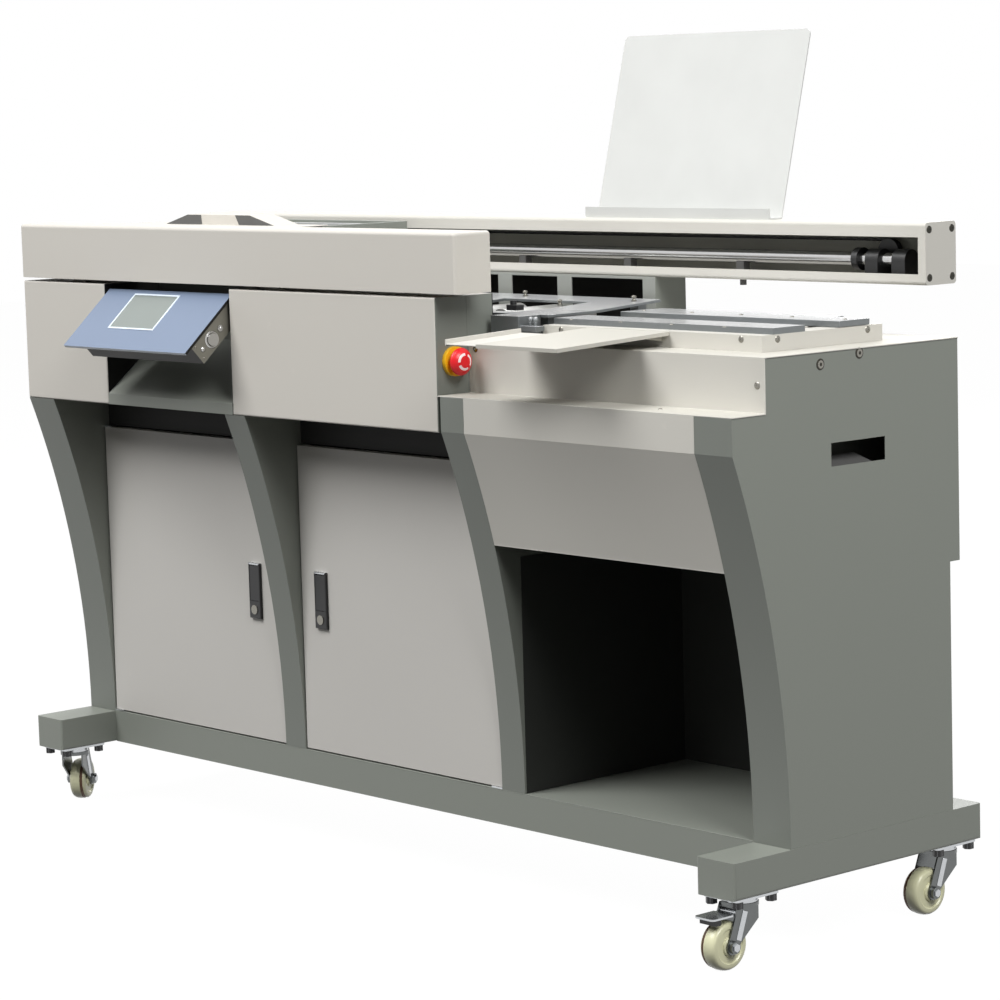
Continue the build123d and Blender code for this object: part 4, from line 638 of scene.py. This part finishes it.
def handCup():
    shape = bmesh.new()
    tilt = Matrix.Translation(cup["place"]) @ Matrix.Rotation(math.radians(cup["tilt"]), 4, "Y")
    joined(shape, slab(cup["low"], cup["high"], cup["edge"]), tilt)
    made("hand_cup", shape, [postGrey], bodyOf["base_frame"])


handCup()


# Console: bezel with its glass, end fittings and corner screws, all in the console's own plane

screen = {
    "left": 290.5, "right": 402.5, "top": -8.0, "bottom": -79.0, "rim": 3.0, "under": -0.5,
    "rise": 0.9, "sink": 0.35, "rimEdge": 0.35, "glassEdge": 0.1,
}
consoleParts = {
    "ring": [(9.6, 0.0), (12.4, 0.0), (12.4, 0.6), (11.6, 1.3), (9.9, 1.3), (9.6, 0.9), (9.6, 0.0)],
    "ringPlace": (515.0, -69.0, -22.6),
    "lamp": [(3.4, 0.0), (3.4, 1.2), (2.4, 1.8), (0.0, 1.8)], "lampPlace": (515.0, -90.0, -21.0),
    "nut": (5.2, 2.0), "nutPlace": (515.0, -48.0, -21.0),
    "toggle": [(1.8, 0.0), (1.5, 2.2), (2.0, 3.3), (1.4, 4.0), (0.0, 4.2)],
    "togglePlace": (515.5, -48.0, -21.0), "toggleWay": (1.0, 0.0, 0.35),
    "screwRadius": 1.8, "screwPlaces": [(515.0, y, z) for y in (-8.0, -97.0) for z in (-9.5, -31.5)],
}


def consoleScreen():
    values = screen
    left, right, bottom, top, rim = (values[key] for key in ("left", "right", "bottom", "top", "rim"))
    bars = (
        (left, bottom, right, bottom + rim), (left, top - rim, right, top),
        (left, bottom + rim, left + rim, top - rim), (right - rim, bottom + rim, right, top - rim),
    )
    shape = bmesh.new()
    for x0, y0, x1, y1 in bars:
        joined(shape, slab((x0, y0, values["under"]), (x1, y1, values["rise"]), values["rimEdge"]), consoleTurn)
    low = (left + rim, bottom + rim, values["under"])
    high = (right - rim, top - rim, values["sink"])
    joined(shape, slab(low, high, values["glassEdge"], 1), consoleTurn, 1)
    made("console_screen", shape, [screenFrame, screenGlass], bodyOf["console"])


def consoleFittings():
    values = consoleParts
    rows = (
        (turned(values["ring"], 32), across, values["ringPlace"]),
        (turned(values["lamp"], 16), across, values["lampPlace"]),
        (hexBar(*values["nut"]), across, values["nutPlace"]),
        (turned(values["toggle"], 14), values["toggleWay"], values["togglePlace"]),
    )
    shape = bmesh.new()
    for part, way, place in rows:
        joined(shape, part, consoleTurn @ facing(way, place))
    made("console_fittings", shape, [barSteel], bodyOf["console"])
    shape = bmesh.new()
    for place in values["screwPlaces"]:
        joined(shape, domeScrew(values["screwRadius"]), consoleTurn @ facing(across, place))
    made("console_screws", shape, [boltSteel], bodyOf["console"])


consoleScreen()
consoleFittings()


# Casters: wheels turned from one profile, hex nuts and the rib pressed in each fork cheek

wheel = {
    "axle": (33.0, 0.0, 31.5), "steps": 48, "band": (-9.3, -4.7), "bandFrom": 28.0,   # the brown line in the tread
    "profile": [
        (5.9, -14.0), (11.6, -14.0), (12.6, -13.2), (13.2, -11.4), (21.0, -10.9), (22.6, -12.4), (26.4, -12.4),
        (28.6, -11.6), (30.0, -10.0), (30.4, -9.2), (30.0, -8.9), (30.2, -5.2), (31.2, -4.8), (31.45, -2.0),
        (31.5, 1.5), (31.2, 5.0), (30.4, 8.2), (28.8, 10.8), (26.6, 12.2), (22.6, 12.4), (21.0, 10.9),
        (13.2, 11.4), (12.6, 13.2), (11.6, 14.0), (5.9, 14.0), (5.9, -14.0),
    ],
}
# the ribs keep the pale zinc, so on the darkened fork they read as a bright band, a painted highlight
forkTrim = {
    "ribLow": (-4.4, -0.6, -19.0), "ribHigh": (4.4, 1.1, 19.0), "ribEdge": 1.0, "ribSegments": 3,
    "cheek": 17.0, "lean": -20.0, "leanPlace": (17.0, 0.0, 56.0), "nut": (5.6, 2.4), "nutOut": 21.9,
}


def casterTurn(spot):
    x, y, heading = casterPlaces[spot]
    return Matrix.Translation((x, y, 0.0)) @ Matrix.Rotation(math.radians(heading), 4, "Z")


def casterWheel(spot):
    values = wheel
    shape = bmesh.new()
    place = casterTurn(spot)
    joined(shape, turned(values["profile"], values["steps"]), place @ facing(backward, values["axle"]))
    axle = place @ Vector(values["axle"])
    along = (place.to_3x3() @ Vector(backward)).normalized()
    start, end = values["band"]
    for face in shape.faces:
        middle = face.calc_center_median() - axle
        away = (middle - along * middle.dot(along)).length
        if start < middle.dot(along) < end and away > values["bandFrom"]:
            face.material_index = 1
    piece = made("wheel_" + spot, shape, [nylon, treadBrown], bodyOf["caster_wheel_" + spot])
    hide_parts("caster_wheel_" + spot)


def casterTrim(spot):
    values = forkTrim
    place = casterTurn(spot)
    lean = Matrix.Translation(values["leanPlace"]) @ Matrix.Rotation(math.radians(values["lean"]), 4, "Y")
    axleX, axleY, axleZ = wheel["axle"]
    (x0, inner, z0), (x1, outer, z1) = values["ribLow"], values["ribHigh"]
    shape = bmesh.new()
    for side in (-1.0, 1.0):
        y0, y1 = sorted((side * (values["cheek"] + inner), side * (values["cheek"] + outer)))
        joined(shape, slab((x0, y0, z0), (x1, y1, z1), values["ribEdge"], values["ribSegments"]), place @ lean)
        nutPlace = (axleX, side * values["nutOut"], axleZ)
        joined(shape, hexBar(*values["nut"]), place @ facing((0.0, side, 0.0), nutPlace))
    made("fork_trim_" + spot, shape, [zincPlate], bodyOf["caster_fork_" + spot])


for spot in casterPlaces:
    casterWheel(spot)
    casterTrim(spot)
print("casters made")


# Belt teeth on the inner side of both runs

teeth = {
    "start": 44.0, "end": 1412.0, "pitch": 5.0, "width": 2.4, "front": 416.3, "back": 423.7,
    "runs": ((882.6, 884.0), (852.0, 853.4)),
}


def beltTeeth():
    values = teeth
    shape = bmesh.new()
    for step in range(int((values["end"] - values["start"]) / values["pitch"])):
        x = values["start"] + step * values["pitch"]
        for low, high in values["runs"]:
            joined(shape, slab((x, values["front"], low), (x + values["width"], values["back"], high), 0.0))
    made("belt_teeth", shape, [beltRubber], bodyOf["drive_belt"])


beltTeeth()


# Thin dark grey sheets on the sloping ends of the carriage's clamp housing, painted shade

hoodShadeSheets = {
    "front": 156.0, "thick": 0.8,
    "outlines": (
        ((182.0, 904.2), (272.0, 904.2), (270.0, 918.6), (237.0, 918.6)),
        ((364.0, 904.2), (447.0, 904.2), (390.0, 918.6), (355.0, 918.6)),
    ),
}


def hoodEndShade():
    shape = bmesh.new()
    for outline in hoodShadeSheets["outlines"]:
        part = bmesh.new()
        face = part.faces.new([part.verts.new((x, hoodShadeSheets["front"], z)) for x, z in outline])
        grown = bmesh.ops.extrude_face_region(part, geom=[face])["geom"]
        grown = [v for v in grown if isinstance(v, bmesh.types.BMVert)]
        bmesh.ops.translate(part, vec=(0.0, -hoodShadeSheets["thick"], 0.0), verts=grown)
        bmesh.ops.recalc_face_normals(part, faces=part.faces)
        joined(shape, part)
    made("hood_end_shade", shape, [postGrey], bodyOf["carriage_cover"])


hoodEndShade()


# Small fittings of the processing table

tableParts = {
    "knob": [(4.0, 0.0), (4.0, 1.2), (2.5, 1.7), (2.0, 3.9), (3.4, 5.1), (3.6, 7.0), (2.6, 8.2), (0.0, 8.6)],
    "knobPlaces": ((951.0, 259.0, 795.0), (802.0, 330.0, 799.2), (1032.0, 323.0, 798.8)),
    "blockLow": (930.0, 178.0, 793.0), "blockHigh": (951.0, 192.0, 800.5), "blockEdge": 0.6,
    "stud": [(4.6, 0.0), (4.6, 5.5), (3.8, 6.2), (0.0, 6.2)], "studPlace": (937.0, 185.0, 800.5),
}


def tableFittings():
    values = tableParts
    shape = bmesh.new()
    for place in values["knobPlaces"]:
        joined(shape, turned(values["knob"], 24), facing(upward, place))
    made("table_knobs", shape, [boltSteel], bodyOf["base_frame"])
    shape = bmesh.new()
    joined(shape, slab(values["blockLow"], values["blockHigh"], values["blockEdge"]))
    joined(shape, turned(values["stud"], 20), facing(upward, values["studPlace"]))
    made("table_clamp", shape, [blackPlastic], bodyOf["base_frame"])


tableFittings()
print("fittings made")


# Floor, light and camera: a lamp is its place, size and power

studio = {
    "floorSize": 24.0, "floorTone": (0.18, 0.18, 0.175), "floorGlow": 0.985, "sky": 0.14, "aim": (0.0, 0.0, 0.6),
}
lamps = {
    "key": ((-1.4, -3.7, 5.3), 3.4, 415.0), "fill": ((4.6, -0.9, 4.3), 2.6, 275.0),
    "top": ((0.2, 0.8, 5.0), 3.0, 25.0), "rear": ((-2.0, 4.8, 3.4), 3.0, 170.0),
}


def makeFloor():
    f = Finish("floorFinish")
    base = f.add("ShaderNodeBsdfDiffuse", values={"Color": linear(studio["floorTone"])})
    glow = f.add("ShaderNodeEmission", values={"Strength": f.backdrop() * studio["floorGlow"]})
    shape = bmesh.new()
    bmesh.ops.create_grid(shape, x_segments=1, y_segments=1, size=studio["floorSize"] / 2)
    mesh = bpy.data.meshes.new("floor")
    shape.to_mesh(mesh)
    shape.free()
    mesh.materials.append(f.shows(f.add("ShaderNodeAddShader", values={0: base, 1: glow})))
    floor = bpy.data.objects.new("floor", mesh)
    bpy.context.scene.collection.objects.link(floor)


def makeSky():
    f = Finish("studioSky", None, "worlds", "ShaderNodeOutputWorld")
    strength = studio["sky"] + f.backdrop() * (1.0 - studio["sky"])
    bpy.context.scene.world = f.shows(
        f.add("ShaderNodeBackground", values={"Strength": strength, "Color": (1.0, 1.0, 1.0)}))


def makeLamp(name, place, size, power):
    lamp = bpy.data.lights.new(name, "AREA")
    lamp.size = size
    lamp.energy = power
    holder = bpy.data.objects.new(name, lamp)
    bpy.context.scene.collection.objects.link(holder)
    holder.location = place
    aim = Vector(studio["aim"]) - Vector(place)
    holder.rotation_euler = aim.to_track_quat("-Z", "Y").to_euler()


camera = {
    "place": (4332.0, -2865.0, 1094.0), "turn": 48.39, "tilt": 7.03, "roll": 1.63,   # millimetres and degrees
    "lens": 119.916, "sensor": 36.0, "reach": 100.0,
}


def makeCamera():
    turn, tilt, roll = (math.radians(camera[key]) for key in ("turn", "tilt", "roll"))
    ahead = Vector((-math.sin(turn) * math.cos(tilt), math.cos(turn) * math.cos(tilt), -math.sin(tilt)))
    right = Vector((math.cos(turn), math.sin(turn), 0.0))
    down = ahead.cross(right)
    side = right * math.cos(roll) + down * math.sin(roll)
    up = right * math.sin(roll) - down * math.cos(roll)
    data = bpy.data.cameras.new("photoCamera")
    data.lens = camera["lens"]
    data.sensor_width = camera["sensor"]
    data.clip_end = camera["reach"]
    holder = bpy.data.objects.new("photoCamera", data)
    bpy.context.scene.collection.objects.link(holder)
    place = (Vector(camera["place"]) + moved) / 1000.0
    holder.matrix_world = Matrix.Translation(place) @ Matrix((side, up, -ahead)).transposed().to_4x4()
    bpy.context.scene.camera = holder


makeFloor()
makeSky()
for lampName, lampValues in lamps.items():
    makeLamp(lampName, *lampValues)
makeCamera()
bpy.context.scene.view_settings.view_transform = "Standard"
print("studio made")

bpy.context.view_layer.update()
